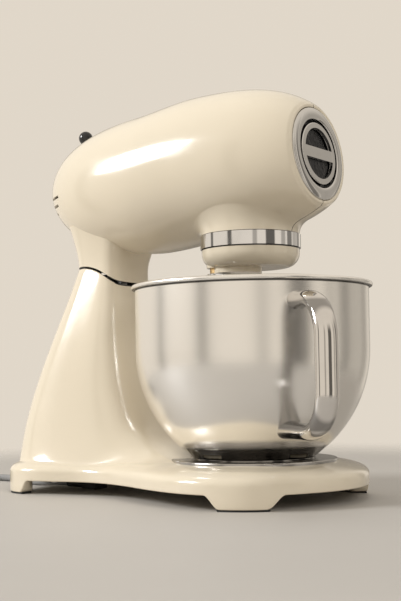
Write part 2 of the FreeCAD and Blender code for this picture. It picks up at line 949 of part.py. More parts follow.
def shell_screw_places():
    """Bosses inside the crown of the head take screws across the seam."""
    return [Vector(x, 0, head_centre(x) + head_station_radius(x, head_wall) - shell_boss_drop)
            for x in (shell_screw_front_x, shell_screw_rear_x)]


def head_shell():
    boss_top = hub_height - head_radius * 0.6
    body = head_body(0).fuse(cylinder(boss_radius, boss_top - boss_bottom, Vector(0, 0, boss_bottom),
                                      ALONG_Z))
    body = body.cut(head_body(head_wall, nose_x + 1))
    bore = cylinder(boss_radius - boss_wall, boss_top - boss_bottom + 2, Vector(0, 0, boss_bottom - 1),
                    ALONG_Z)
    body = body.cut(bore)
    body = body.cut(at_nose(cylinder(nose_ring_radius + seat_gap, 3 * nose_ring_depth,
                                     Vector(-nose_ring_depth - 1, 0, 0), ALONG_X)))
    body = body.cut(neck_loft(-seat_gap, column_top, neck_top + 2))
    slot_half = slider_stem_radius + 2 * drop_in_gap
    slot = block(-slot_half - 1, slider_travel + slot_half + 1, -slot_half, slot_half,
                 slot_floor - track_depth, knob_radius)
    body = body.cut(along_slot(slot))
    for middle, half_width in zip(vent_middles, vent_half_widths):
        slot = block(head_widest_x - head_rear_reach, vent_depth_x, -half_width, half_width,
                     middle - vent_height / 2, middle + vent_height / 2)
        body = body.cut(slot)
    for place in shell_screw_places():
        boss = cylinder(shell_boss_radius, 2 * screw_length, place - ALONG_Y * screw_length, ALONG_Y)
        stem = block(place.x - shell_boss_radius / 2, place.x + shell_boss_radius / 2, -screw_length,
                     screw_length,
                     place.z, place.z + shell_boss_drop + head_wall / 2)
        body = body.fuse(boss.fuse(stem).common(head_body(head_wall / 2)))
        body = body.cut(cylinder(screw_radius + running_gap, screw_length,
                                 place - ALONG_Y * screw_length, ALONG_Y))
    return body


def head_halves(shell):
    far = 3 * head_rear_reach
    right = block(-far, far, -far, 0, -far, far)
    left = block(-far, far, 0, far, -far, far)
    return shell.common(right), shell.common(left)


def shell_screws():
    """Long screws from the right half into the left half, heads against the bosses."""
    return [screw(place - ALONG_Y * screw_length, ALONG_Y) for place in shell_screw_places()]


def nose_ring():
    """The wide chrome bezel: a crowned ring with a flange inside that the hub cover sits on."""
    outer = Vector(-1.0, 0, nose_ring_radius)
    crest = Vector(nose_ring_crown, 0, (nose_ring_radius + nose_ring_bore) / 2)
    inner = Vector(0, 0, nose_ring_bore)
    back_inner = Vector(-nose_ring_depth, 0, nose_ring_bore)
    back_outer = Vector(-nose_ring_depth, 0, nose_ring_radius)
    edges = [
        Part.Arc(outer, crest, inner).toShape(),
        Part.makeLine(inner, back_inner),
        Part.makeLine(back_inner, back_outer),
        Part.makeLine(back_outer, outer),
    ]
    ring = Part.Face(Part.Wire(edges)).revolve(Vector(0, 0, 0), ALONG_X, 360)
    flange = tube(nose_ring_bore + 1, nose_ring_flange_bore, nose_ring_flange,
                  Vector(-nose_ring_depth, 0, 0), ALONG_X)
    return at_nose(joined([ring, flange]))


def hub_cover():
    """A round cap with a finger recess crossed by a grip bar."""
    back = nose_ring_flange + seat_gap - nose_ring_depth
    disc = cylinder(hub_cover_radius, hub_cover_front - back, Vector(back, 0, 0), ALONG_X)
    front = [edge for edge in disc.Edges if edge.BoundBox.XMin > hub_cover_front - 0.01]
    disc = disc.makeFillet(hub_cover_edge, front)
    recess = cylinder(hub_recess_radius, hub_recess_depth,
                      Vector(hub_cover_front - hub_recess_depth, 0, 0), ALONG_X)
    bar = block(hub_cover_front - hub_recess_depth, hub_cover_front - hub_bar_setback,
                -hub_recess_radius, hub_recess_radius,
                -hub_bar_height / 2, hub_bar_height / 2).common(recess)
    return at_nose(joined([disc.cut(recess), bar]))


def planetary_band():
    band = tube(band_radius, boss_radius + running_gap, band_top - band_bottom,
                Vector(0, 0, band_bottom), ALONG_Z)
    return band.cut(head_body(-running_gap))


# Gears


def gear_points(teeth, module, addendum, dedendum, thinning, tooth_at):
    """A toothed outline with involute flanks of a few straight facets; one tooth points at tooth_at
    degrees."""
    pitch = teeth * module / 2
    base = pitch * math.cos(math.radians(pressure_angle))
    tip = pitch + addendum
    root = pitch - dedendum
    at_pitch = math.tan(math.radians(pressure_angle)) - math.radians(pressure_angle)
    half_at_pitch = math.pi / 2 / teeth - thinning / 2 / pitch
    steps = 3
    radii = [max(root, base) + (tip - max(root, base)) * step / steps for step in range(steps + 1)]
    flank = []
    for radius in radii:
        pressure = math.acos(base / radius)
        flank.append((radius, half_at_pitch + at_pitch - (math.tan(pressure) - pressure)))
    if root < base:
        flank.insert(0, (root, flank[0][1]))
    points = []
    for tooth in range(teeth):
        middle = math.radians(tooth_at) + 2 * math.pi * tooth / teeth
        points += [(radius, middle - half) for radius, half in flank]
        points += [(radius, middle + half) for radius, half in reversed(flank)]
    return [(radius * math.cos(angle), radius * math.sin(angle)) for radius, angle in points]


def upright_gear(points, bottom, height, centre=Vector(0, 0, 0)):
    outline = [Vector(x, y, bottom) + centre for x, y in points]
    return prism(outline, Vector(0, 0, height))


def cross_gear(points, rear, width, height):
    """A gear on an axis along X; its outline's first direction is +Y and its second is +Z."""
    outline = [Vector(rear, y, z + height) for y, z in points]
    return prism(outline, Vector(width, 0, 0))


def spur_points(teeth, tooth_at):
    return gear_points(teeth, spur_module, spur_module, tooth_depth * spur_module, tooth_thinning, tooth_at)


def planet_centre():
    return polar((ring_teeth - planet_teeth) * planet_module / 2, planet_azimuth)


def ring_gear():
    outer = boss_radius - boss_wall - seat_gap
    blank = cylinder(outer, ring_gear_top - ring_gear_bottom, Vector(0, 0, ring_gear_bottom), ALONG_Z)
    spaces = gear_points(ring_teeth, planet_module, tooth_depth * planet_module, tooth_rise * planet_module,
                         -tooth_thinning, planet_azimuth)
    return blank.cut(upright_gear(spaces, ring_gear_bottom, ring_gear_top - ring_gear_bottom))


def planet_gear_bottom():
    return ring_gear_bottom + 2 * seat_gap


def planet_pinion():
    points = gear_points(planet_teeth, planet_module, tooth_rise * planet_module,
                         tooth_depth * planet_module,
                         tooth_thinning, planet_azimuth)
    gear = upright_gear(points, planet_gear_bottom(), planet_gear_height, planet_centre())
    return gear.cut(cylinder(spindle_radius + running_gap, planet_gear_height,
                             planet_centre() + Vector(0, 0, planet_gear_bottom()), ALONG_Z))


def bevel_points(teeth, mate_teeth, tooth_at):
    """Tooth outline of a bevel wheel in the plane of its pitch circle, from its back-cone spur gear."""
    cone = math.atan2(teeth, mate_teeth)
    pitch = teeth * bevel_module / 2
    plane = mate_teeth * bevel_module / 2
    virtual_pitch = pitch / math.cos(cone)
    base = virtual_pitch * math.cos(math.radians(pressure_angle))
    at_pitch = math.tan(math.radians(pressure_angle)) - math.radians(pressure_angle)
    half_at_pitch = math.pi / 2 / teeth - tooth_thinning / 2 / pitch
    flank = []
    for depth in (-1.25, -0.6, 0.2, 0.9):
        reach = depth * bevel_module
        radius = max(base, virtual_pitch + reach)
        pressure = math.acos(base / radius)
        turn = (at_pitch - (math.tan(pressure) - pressure)) / math.cos(cone)
        in_plane = (pitch + reach * math.cos(cone)) * plane / (plane - reach * math.sin(cone))
        flank.append((in_plane, half_at_pitch + turn))
    points = []
    for tooth in range(teeth):
        middle = math.radians(tooth_at) + 2 * math.pi * tooth / teeth
        points += [(radius, middle - half) for radius, half in flank]
        points += [(radius, middle + half) for radius, half in reversed(flank)]
    return [(radius * math.cos(angle), radius * math.sin(angle)) for radius, angle in points]


def bevel_share():
    cone_distance = math.hypot(bevel_gear_teeth, bevel_pinion_teeth) * bevel_module / 2
    return 1 - bevel_face / cone_distance


def bevel_gear_plane():
    return hub_height - bevel_pinion_teeth * bevel_module / 2


def bevel_gear():
    plane = bevel_pinion_teeth * bevel_module / 2
    points = bevel_points(bevel_gear_teeth, bevel_pinion_teeth, 180.0)
    share = bevel_share()
    back = Part.makePolygon([Vector(x, y, hub_height - plane) for x, y in points + points[:1]])
    front = Part.makePolygon([Vector(x * share, y * share, hub_height - plane * share)
                              for x, y in points + points[:1]])
    teeth = Part.makeLoft([back, front], True, True)
    hub_radius = bevel_gear_teeth * bevel_module / 2 * share
    hub = cylinder(hub_radius, bevel_hub_height, Vector(0, 0, hub_height - plane - bevel_hub_height),
                   ALONG_Z)
    hole = cylinder(planet_shaft_radius + running_gap, 2 * plane + bevel_hub_height,
                    Vector(0, 0, hub_height - plane - bevel_hub_height), ALONG_Z)
    return teeth.fuse(hub).cut(hole)


def bevel_pinion():
    plane = bevel_gear_teeth * bevel_module / 2
    share = bevel_share()
    half_step = 180.0 / bevel_pinion_teeth
    points = bevel_points(bevel_pinion_teeth, bevel_gear_teeth, 270.0 + half_step)
    back = Part.makePolygon([Vector(-plane, y, z + hub_height) for y, z in points + points[:1]])
    front = Part.makePolygon([Vector(-plane * share, y * share, z * share + hub_height)
                              for y, z in points + points[:1]])
    teeth = Part.makeLoft([back, front], True, True)
    hub = cylinder(bevel_pinion_hub_radius, bevel_hub_height,
                   Vector(-plane - bevel_hub_height, 0, hub_height), ALONG_X)
    hole = cylinder(main_shaft_radius + running_gap, 2 * plane,
                    Vector(-plane - bevel_hub_height, 0, hub_height),
                    ALONG_X)
    return teeth.fuse(hub).cut(hole)


# Spur train along X: motor pinion, countershaft wheel, countershaft pinion, output wheel


def countershaft_height():
    return hub_height - (wheel_teeth + pinion_teeth) * spur_module / 2


def first_stage_x():
    return motor_plate_x + plate_thickness + motor_gear_gap


def second_stage_x():
    return first_stage_x() + wheel_width + gear_side_gap


def motor_shaft():
    """The armature shaft carries its pinion on the end beyond the motor plate."""
    rear = end_frame_x - fan_length - fan_space
    shaft = cylinder(motor_shaft_radius, first_stage_x() - rear, Vector(rear, 0, hub_height), ALONG_X)
    teeth = cross_gear(spur_points(pinion_teeth, 270.0), first_stage_x(), wheel_width, hub_height)
    return joined([shaft, teeth])


def countershaft_wheel():
    half_step = 180.0 / wheel_teeth
    wheel = cross_gear(spur_points(wheel_teeth, 90.0 + half_step), first_stage_x(), wheel_width,
                       countershaft_height())
    return wheel.cut(cylinder(countershaft_radius + running_gap, wheel_width,
                              Vector(first_stage_x(), 0, countershaft_height()), ALONG_X))


def countershaft():
    rear = motor_plate_x + seat_gap
    front = gear_plate_x + plate_thickness - seat_gap
    shaft = cylinder(countershaft_radius, front - rear, Vector(rear, 0, countershaft_height()), ALONG_X)
    teeth = cross_gear(spur_points(pinion_teeth, 90.0), second_stage_x(), wheel_width,
                       countershaft_height())
    return joined([shaft, teeth])


def output_wheel():
    half_step = 180.0 / wheel_teeth
    wheel = cross_gear(spur_points(wheel_teeth, 270.0 + half_step), second_stage_x(), wheel_width,
                       hub_height)
    return wheel.cut(cylinder(main_shaft_radius + running_gap, wheel_width,
                              Vector(second_stage_x(), 0, hub_height), ALONG_X))


def main_shaft():
    """Carries the output wheel at the rear, the bevel pinion, and the accessory socket in the nose."""
    rear = second_stage_x() + seat_gap
    socket_x = sleeve_front_x - socket_length - 1
    shaft = cylinder(main_shaft_radius, socket_x - rear, Vector(rear, 0, hub_height), ALONG_X)
    socket = cylinder(socket_radius, socket_length, Vector(socket_x, 0, hub_height), ALONG_X)
    half = socket_square / 2
    hole = block(socket_x + 2, socket_x + socket_length, -half, half, hub_height - half, hub_height + half)
    return joined([shaft, socket]).cut(hole)


def main_bearings():
    bearings = []
    for rear in (gear_plate_x, hub_bracket_x):
        bearings.append(tube(main_bearing_radius, main_shaft_radius + running_gap, main_bearing_length - 1,
                             Vector(rear, 0, hub_height), ALONG_X))
    return bearings


def countershaft_bushes():
    bushes = []
    for rear in (motor_plate_x, gear_plate_x):
        bushes.append(tube(countershaft_bush_radius, countershaft_radius + running_gap, plate_thickness,
                           Vector(rear, 0, countershaft_height()), ALONG_X))
    return bushes


# Planetary


def planet_shaft():
    top = bevel_gear_plane() + bevel_pinion_teeth * bevel_module / 2 * (1 - bevel_share())
    bottom = cap_bottom + cap_wall
    return cylinder(planet_shaft_radius, top - bottom, Vector(0, 0, bottom), ALONG_Z)


def planet_bearings():
    bearings = []
    for bottom in (ring_gear_top + seat_gap, tower_top - planet_bearing_height):
        bearings.append(tube(planet_bearing_radius, planet_shaft_radius + running_gap,
                             planet_bearing_height,
                             Vector(0, 0, bottom), ALONG_Z))
    return bearings


def spindle_housing_radius():
    return spindle_radius + spindle_bush_wall + cap_wall


def planetary_cap():
    """The turning cup under the band: a rounded dish with a hub, a spindle housing and an eccentric
    lower boss."""
    dish = cylinder(cap_radius, cap_top - cap_bottom, Vector(0, 0, cap_bottom), ALONG_Z)
    lower = [edge for edge in dish.Edges if edge.BoundBox.ZMax < cap_bottom + 0.01]
    dish = dish.makeFillet(cap_corner, lower)
    floor = cap_bottom + cap_wall
    hollow = cylinder(cap_radius - cap_wall, cap_top - cap_bottom, Vector(0, 0, floor), ALONG_Z)
    lower = [edge for edge in hollow.Edges if edge.BoundBox.ZMax < floor + 0.01]
    hollow = hollow.makeFillet(cap_corner - cap_wall, lower)
    dish = dish.cut(hollow)
    hub_radius = planet_shaft_radius + 2 * cap_wall
    hub = cylinder(hub_radius, cap_top - cap_bottom + cap_wall, Vector(0, 0, cap_bottom), ALONG_Z)
    housing_top = planet_gear_bottom() - 2 * seat_gap
    housing = cylinder(spindle_housing_radius(), housing_top - cap_bottom,
                       planet_centre() + Vector(0, 0, cap_bottom), ALONG_Z)
    lower_boss = cylinder(lower_boss_radius, cap_bottom + cap_wall - lower_boss_bottom,
                          polar(lower_boss_offset, planet_azimuth, lower_boss_bottom), ALONG_Z)
    body = joined([dish, hub, housing, lower_boss])
    body = body.cut(cylinder(planet_shaft_radius + running_gap, hub_height,
                             Vector(0, 0, cap_bottom + cap_wall),
                             ALONG_Z))
    bore = cylinder(spindle_radius + spindle_bush_wall + running_gap, hub_height,
                    planet_centre() + Vector(0, 0, lower_boss_bottom - 1), ALONG_Z)
    return body.cut(bore)


def spindle_bushes():
    bottom = lower_boss_bottom + seat_gap
    top = planet_gear_bottom() - 2 * seat_gap
    length = (top - bottom) * 0.35
    bushes = []
    for start in (bottom, top - length):
        bushes.append(tube(spindle_radius + spindle_bush_wall, spindle_radius + running_gap, length,
                           planet_centre() + Vector(0, 0, start), ALONG_Z))
    return bushes


def beater_spindle():
    """A shaft from the planet pinion down to the beater, with a collar under the cap and a plain tip."""
    top = planet_gear_bottom() + planet_gear_height
    shoulder = cross_pin_height - cross_pin_radius - seat_gap
    tip = cylinder(spindle_tip_radius, shoulder - spindle_bottom,
                   planet_centre() + Vector(0, 0, spindle_bottom), ALONG_Z)
    shaft = cylinder(spindle_radius, top - shoulder, planet_centre() + Vector(0, 0, shoulder), ALONG_Z)
    collar_top = lower_boss_bottom - seat_gap
    collar = cylinder(spindle_collar_radius, collar_top - spindle_collar_bottom,
                      planet_centre() + Vector(0, 0, spindle_collar_bottom), ALONG_Z)
    across = polar(1.0, planet_azimuth + 90)
    hole = cylinder(cross_pin_radius, cross_pin_length,
                    planet_centre() + Vector(0, 0, cross_pin_height) - across * (cross_pin_length / 2),
                    across)
    return joined([tip, shaft, collar]).cut(hole)


def spindle_cross_pin():
    across = polar(1.0, planet_azimuth + 90)
    start = planet_centre() + Vector(0, 0, cross_pin_height) - across * (cross_pin_length / 2)
    return cylinder(cross_pin_radius, cross_pin_length, start, across)


# Gear housing


def gear_housing():
    """One casting: floor, pedestal on the neck, planetary tower and flange, two gear plates, hub sleeve."""
    top = housing_floor + housing_floor_thickness
    floor = block(motor_plate_x, housing_front_x, -housing_half_width, housing_half_width,
                  housing_floor, top)
    tongue = block(0, hub_bracket_x + hub_bracket_length, -tongue_half_width, tongue_half_width,
                   housing_floor, top)
    tail = block(pedestal_rear_x, motor_plate_x, -pedestal_half_width, pedestal_half_width,
                 housing_floor, top)
    pedestal = block(pedestal_rear_x, pedestal_front_x, -pedestal_half_width, pedestal_half_width,
                     tilt_z, top)
    tower = cylinder(tower_radius, tower_top - ring_gear_top, Vector(0, 0, ring_gear_top), ALONG_Z)
    flange = cylinder(flange_radius, housing_floor - ring_gear_top, Vector(0, 0, ring_gear_top), ALONG_Z)
    plates = [block(x, x + plate_thickness, -plate_half_width, plate_half_width, housing_floor, plate_top)
              for x in (motor_plate_x, gear_plate_x)]
    bracket = block(hub_bracket_x, hub_bracket_x + hub_bracket_length, -tongue_half_width,
                    tongue_half_width,
                    housing_floor, hub_height)
    hub_disc = cylinder(sleeve_radius, hub_bracket_length, Vector(hub_bracket_x, 0, hub_height), ALONG_X)
    sleeve = tube(sleeve_radius, sleeve_bore, sleeve_front_x - hub_bracket_x,
                  Vector(hub_bracket_x, 0, hub_height), ALONG_X)
    body = joined([floor, tongue, tail, pedestal, tower, flange, bracket, hub_disc, sleeve] + plates)
    shaft_bore = cylinder(planet_shaft_radius + 1, hub_height, Vector(0, 0, ring_gear_top - 1), ALONG_Z)
    body = body.cut(shaft_bore)
    body = body.cut(cylinder(planet_bearing_radius, planet_bearing_height + seat_gap,
                             Vector(0, 0, ring_gear_top), ALONG_Z))
    body = body.cut(cylinder(planet_bearing_radius, planet_bearing_height,
                             Vector(0, 0, tower_top - planet_bearing_height), ALONG_Z))
    for x, length in ((gear_plate_x, plate_thickness), (hub_bracket_x, hub_bracket_length)):
        body = body.cut(cylinder(main_bearing_radius, main_bearing_length - 1, Vector(x, 0, hub_height),
                                 ALONG_X))
        body = body.cut(cylinder(main_shaft_radius + 1, length, Vector(x, 0, hub_height), ALONG_X))
    for x in (motor_plate_x, gear_plate_x):
        body = body.cut(cylinder(countershaft_bush_radius, plate_thickness,
                                 Vector(x, 0, countershaft_height()), ALONG_X))
    body = body.cut(cylinder(motor_bearing_radius, plate_thickness,
                             Vector(motor_plate_x, 0, hub_height), ALONG_X))
    for place in pedestal_bolts():
        body = body.cut(cylinder(screw_radius + running_gap, screw_length, place, ALONG_Z))
    return body


# Motor


def motor_stator():
    """A laminated field of two poles with a wide yoke, bolted against the motor plate."""
    length = motor_plate_x - stator_rear_x
    start = Vector(stator_rear_x, 0, hub_height)
    body = tube(stator_radius, stator_bore, length, start, ALONG_X)
    for side in (-1, 1):
        slot = block(stator_rear_x, motor_plate_x, -pole_height / 2, pole_height / 2,
                     hub_height + side * pole_height - pole_half_thickness,
                     hub_height + side * pole_height + pole_half_thickness)
        body = body.cut(slot)
    return body.removeSplitter()


def field_coils():
    """Copper windings in the slots over and under the rotor."""
    margin = seat_gap
    coils = []
    for side in (-1, 1):
        coils.append(block(stator_rear_x - coil_overhang, motor_plate_x - seat_gap,
                           margin - pole_height / 2,
                           pole_height / 2 - margin,
                           hub_height + side * pole_height - pole_half_thickness + margin,
                           hub_height + side * pole_height + pole_half_thickness - margin))
    return coils


def motor_rotor():
    rear = stator_rear_x + rotor_margin
    front = motor_plate_x - rotor_margin
    stack = tube(rotor_radius, motor_shaft_radius + running_gap, front - rear,
                 Vector(rear, 0, hub_height), ALONG_X)
    slots = 12
    for index in range(slots):
        angle = math.radians(360 / slots * index)
        middle = Vector(rear, rotor_radius * math.cos(angle), hub_height + rotor_radius * math.sin(angle))
        stack = stack.cut(cylinder(1.4, front - rear, middle, ALONG_X))
    return stack


def commutator():
    rear = stator_rear_x - 6 - commutator_length
    return tube(commutator_radius, motor_shaft_radius + running_gap, commutator_length,
                Vector(rear, 0, hub_height), ALONG_X)


def end_post_places():
    return [Vector(0, end_post_circle * math.cos(math.radians(angle)),
                   end_post_circle * math.sin(math.radians(angle)))
            for angle in (20, 160, 200, 340)]


def motor_end_frame():
    """The rear bearing bracket on four posts, with a brush arm on each side."""
    start = Vector(end_frame_x, 0, hub_height)
    disc = cylinder(end_frame_radius, end_frame_thickness, start, ALONG_X)
    disc = disc.cut(cylinder(motor_bearing_radius, end_frame_thickness, start, ALONG_X))
    posts = [cylinder(end_post_radius, stator_rear_x - end_frame_x - end_frame_thickness,
                      start + place + ALONG_X * end_frame_thickness,
                      ALONG_X) for place in end_post_places()]
    return joined([disc] + posts)


def brush_holders():
    inner = commutator_radius + seat_gap
    rear = end_frame_x + end_frame_thickness
    front = stator_rear_x - 6
    half = brush_width / 2
    holder = block(rear, front, inner, inner + brush_depth - 6, hub_height - half, hub_height + half)
    return mirrored(holder)


def motor_bearings():
    bearings = []
    for rear, width in ((end_frame_x, end_frame_thickness), (motor_plate_x, plate_thickness)):
        bearings.append(tube(motor_bearing_radius, motor_shaft_radius + running_gap, width,
                             Vector(rear, 0, hub_height), ALONG_X))
    return bearings


def cooling_fan():
    rear = end_frame_x - fan_length - 2
    start = Vector(rear, 0, hub_height)
    hub = cylinder(motor_shaft_radius * 2, fan_length, start, ALONG_X)
    disc = cylinder(fan_radius, 2, start + ALONG_X * (fan_length - 2), ALONG_X)
    blades = []
    for index in range(fan_blades):
        blade = block(rear, rear + fan_length, motor_shaft_radius, fan_radius - 1,
                      hub_height - fan_blade_thickness / 2, hub_height + fan_blade_thickness / 2)
        blade.rotate(start, ALONG_X, 360 / fan_blades * index)
        blades.append(blade)
    body = joined([hub, disc] + blades)
    return body.cut(cylinder(motor_shaft_radius + running_gap, fan_length, start, ALONG_X))


def control_board():
    """A speed control card on the housing's tail, with its capacitor, choke and power device."""
    bottom = housing_floor + housing_floor_thickness
    rear = pedestal_rear_x + 2
    card = block(rear, rear + board_length, -board_half_width, board_half_width, bottom,
                 bottom + board_thickness)
    top = bottom + board_thickness
    choke = cylinder(board_part_height, board_part_height, Vector(rear + 10, -10, top), ALONG_Z)
    capacitor = block(rear + 20, rear + 34, -14, -4, top, top + board_part_height)
    device = block(rear + 8, rear + 18, 6, 16, top, top + board_part_height / 2)
    terminals = block(rear + 26, rear + 40, 8, 16, top, top + board_part_height)
    return joined([card, choke, capacitor, device, terminals])


# Speed slider


def speed_knob():
    ball = Part.makeSphere(knob_radius)
    socket = cylinder(slider_stem_radius, knob_radius, Vector(0, 0, -knob_radius), ALONG_Z)
    return along_slot(ball.cut(socket))


def speed_slider():
    """A stem through the slot on a block that runs along the track."""
    low = track_thickness - track_depth + seat_gap
    stem = cylinder(slider_stem_radius, -low, Vector(0, 0, low), ALONG_Z)
    body = block(-slider_block_length / 2, slider_block_length / 2, -slider_block_half_width,
                 slider_block_half_width,
                 low, low + slider_block_height)
    return along_slot(joined([stem, body]))


def speed_track():
    """A slide potentiometer under the slot, with a lip on each side of the block and a leg on the
    motor's end frame."""
    rear = -slider_block_length / 2 - track_margin
    front = slider_travel + slider_block_length / 2 + track_margin
    deck = block(rear, front, -track_half_width, track_half_width, -track_depth,
                 track_thickness - track_depth)
    lip_inner = slider_block_half_width + seat_gap
    lip = block(rear, front, lip_inner, track_half_width, -track_depth,
                track_thickness - track_depth + track_lip)
    channel = along_slot(joined([deck] + mirrored(lip)))
    slope = math.radians(slot_slope)
    leg_x = end_frame_x + end_frame_thickness
    leg_top = knob_z + (leg_x - knob_x) * math.tan(slope)
    leg_top -= (track_depth - track_thickness / 2) / math.cos(slope)
    leg = block(end_frame_x, leg_x, -track_half_width / 2, track_half_width / 2, hub_height, leg_top)
    leg = leg.cut(cylinder(end_frame_radius, end_frame_thickness, Vector(end_frame_x, 0, hub_height),
                           ALONG_X))
    return joined([channel, leg])


# Cord


def cord_points():
    return [Vector(x, y, z) for x, y, z in cord_route]


def cord_radii():
    """Each arc is as large as the shorter of its two runs allows."""
    points = cord_points()
    radii = []
    for before, corner, after in zip(points, points[1:], points[2:]):
        arriving = corner - before
        leaving = after - corner
        turn = arriving.getAngle(leaving)
        radii.append(cord_bend_share * min(arriving.Length, leaving.Length) / math.tan(turn / 2))
    return radii


def power_cord():
    points = cord_points()
    path = rounded_path(points, cord_radii())
    section = Part.Wire(Part.makeCircle(cord_radius, points[0], points[1] - points[0]))
    cord = path.makePipeShell([section], True, False)
    print("cord radii", [round(radius) for radius in cord_radii()])
    print("cord volume", round(cord.Volume), "section times length",
          round(math.pi * cord_radius ** 2 * path.Length))
    return cord.cut(cord_coil())


def cord_coil():
    ring = tube(coil_turn_radius + 2 * cord_radius, coil_turn_radius - 2 * cord_radius, coil_height,
                Vector(coil_x, coil_y, 0), ALONG_Z)
    return ring


def cord_gland():
    """A clamp block under the base cover and a tapered, ribbed strain relief."""
    front = gland_x + gland_length
    top = skirt_bottom
    clamp = block(gland_x, front, cord_exit_y - gland_half_width, cord_exit_y + gland_half_width,
                  top - gland_height, top)
    first = cord_points()[0]
    start = Vector(gland_x, cord_exit_y, cord_exit_z)
    cone = Part.makeCone(relief_radius, cord_radius + 0.6, gland_x - first.x, start, Vector(-1, 0, 0))
    return joined([clamp, cone])


def plug_frame(shape):
    """Stands a plug made along X at the origin on the worktop beside the coil."""
    place = Vector(coil_x, coil_y, 0)
    shape.Placement = FreeCAD.Placement(place, FreeCAD.Rotation(ALONG_Z, plug_angle))
    return shape


def power_plug():
    """A moulded body that lies beside the coil, where the last turn runs into it."""
    near = coil_turn_radius + 2 * cord_radius
    middle = near + plug_half_width - cord_radius
    body = block(-plug_length, 0, middle - plug_half_width, middle + plug_half_width, 0, plug_height)
    upright = [edge for edge in body.Edges if edge.BoundBox.ZLength > plug_height / 2]
    body = body.makeFillet(plug_height * 0.3, upright)
    tips = -plug_length - plug_pin_length
    pins = [cylinder(plug_pin_radius, plug_pin_length,
                     Vector(tips, middle + side * plug_pin_spacing / 2, plug_height / 2), ALONG_X)
            for side in (-1, 1)]
    return plug_frame(joined([body] + pins)).cut(cylinder(near, plug_height, Vector(coil_x, coil_y, 0),
                                                          ALONG_Z))


def build():
    right_shell, left_shell = head_halves(head_shell())
    return {
        "stand_casting": stand_casting(),
        "base_cover": base_cover(),
        "base_cover_screws": base_cover_screws(),
        "rubber_feet": rubber_feet(),
        "bowl_lock_plate": lock_plate(),
        "lock_plate_screws": lock_plate_screws(),
        "tilt_hinge_pin": tilt_hinge_pin(),
        "cord_gland": cord_gland(),
        "power_cord": power_cord(),
        "cord_coil": cord_coil(),
        "power_plug": power_plug(),
        "release_button": release_button(),
        "latch_bar": latch_bar(),
        "button_spring": button_spring(),
        "neck_casting": neck_casting(),
        "hinge_bushes": hinge_bushes(),
        "tilt_quadrant": tilt_quadrant(),
        "housing_screws": housing_screws(),
        "head_shell_right": right_shell,
        "head_shell_left": left_shell,
        "shell_screws": shell_screws(),
        "nose_ring": nose_ring(),
        "planetary_band": planetary_band(),
        "gear_housing": gear_housing(),
        "ring_gear": ring_gear(),
        "main_bearings": main_bearings(),
        "planet_bearings": planet_bearings(),
        "countershaft_bushes": countershaft_bushes(),
        "motor_stator": motor_stator(),
        "field_coils": field_coils(),
        "motor_end_frame": motor_end_frame(),
        "motor_bearings": motor_bearings(),
        "brush_holders": brush_holders(),
        "control_board": control_board(),
        "speed_track": speed_track(),
        "hub_cover": hub_cover(),
        "speed_slider": speed_slider(),
        "speed_knob": speed_knob(),
        "motor_shaft": motor_shaft(),
        "motor_rotor": motor_rotor(),
        "commutator": commutator(),
        "cooling_fan": cooling_fan(),
        "countershaft": countershaft(),
        "countershaft_wheel": countershaft_wheel(),
        "main_shaft": main_shaft(),
        "output_wheel": output_wheel(),
        "bevel_pinion": bevel_pinion(),
        "bevel_gear": bevel_gear(),
        "planet_shaft": planet_shaft(),
        "planetary_cap": planetary_cap(),
        "spindle_bushes": spindle_bushes(),
        "beater_spindle": beater_spindle(),
        "planet_pinion": planet_pinion(),
        "spindle_cross_pin": spindle_cross_pin(),
        "mixing_bowl": mixing_bowl(),
        "bowl_foot_ring": bowl_foot_ring(),
        "bowl_handle": bowl_handle(),
    }


def mixer_middle(pieces):
    """Halfway between the heel of the stand and the outside of the bowl's handle."""
    heel = pieces["stand_casting"].optimalBoundingBox(False, False).XMin
    grip = pieces["bowl_handle"].optimalBoundingBox(False, False).XMax
    return (heel + grip) / 2


pieces = build()
middle = mixer_middle(pieces)
print("bowl axis ahead of the origin", -middle)
os.makedirs("parts", exist_ok=True)
for node, shape in pieces.items():
    if isinstance(shape, list):
        shape = Part.makeCompound(shape)
    shape.translate(Vector(-middle, 0, 0))
    shape.exportStep(f"parts/{node}.step")
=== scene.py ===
import bmesh
import bpy
import numpy as np
from mathutils import Matrix, Vector


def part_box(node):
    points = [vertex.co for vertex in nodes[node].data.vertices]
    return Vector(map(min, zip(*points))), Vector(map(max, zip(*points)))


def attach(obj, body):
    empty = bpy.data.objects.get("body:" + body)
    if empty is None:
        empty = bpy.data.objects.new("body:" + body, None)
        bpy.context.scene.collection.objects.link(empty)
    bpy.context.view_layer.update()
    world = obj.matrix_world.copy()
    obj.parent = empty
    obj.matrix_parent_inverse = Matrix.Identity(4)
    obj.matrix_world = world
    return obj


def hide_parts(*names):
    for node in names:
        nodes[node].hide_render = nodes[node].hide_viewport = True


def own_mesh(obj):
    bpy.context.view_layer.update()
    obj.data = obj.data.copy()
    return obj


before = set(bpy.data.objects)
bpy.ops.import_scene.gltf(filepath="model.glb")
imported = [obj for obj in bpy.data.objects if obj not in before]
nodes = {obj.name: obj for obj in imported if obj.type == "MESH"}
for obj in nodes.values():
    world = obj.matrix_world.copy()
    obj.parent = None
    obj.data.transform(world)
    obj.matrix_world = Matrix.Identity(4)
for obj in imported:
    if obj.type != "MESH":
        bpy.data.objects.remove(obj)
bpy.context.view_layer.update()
bowl_axis = sum(corner.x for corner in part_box("mixing_bowl")) / 2


# Stand: one aluminium die casting, base and hollow column together, blasted, primed and sprayed
# in thick cream enamel. Low arches between its four feet keep it off the worktop, and the top of
# the column is a shallow cradle under the tilting neck.

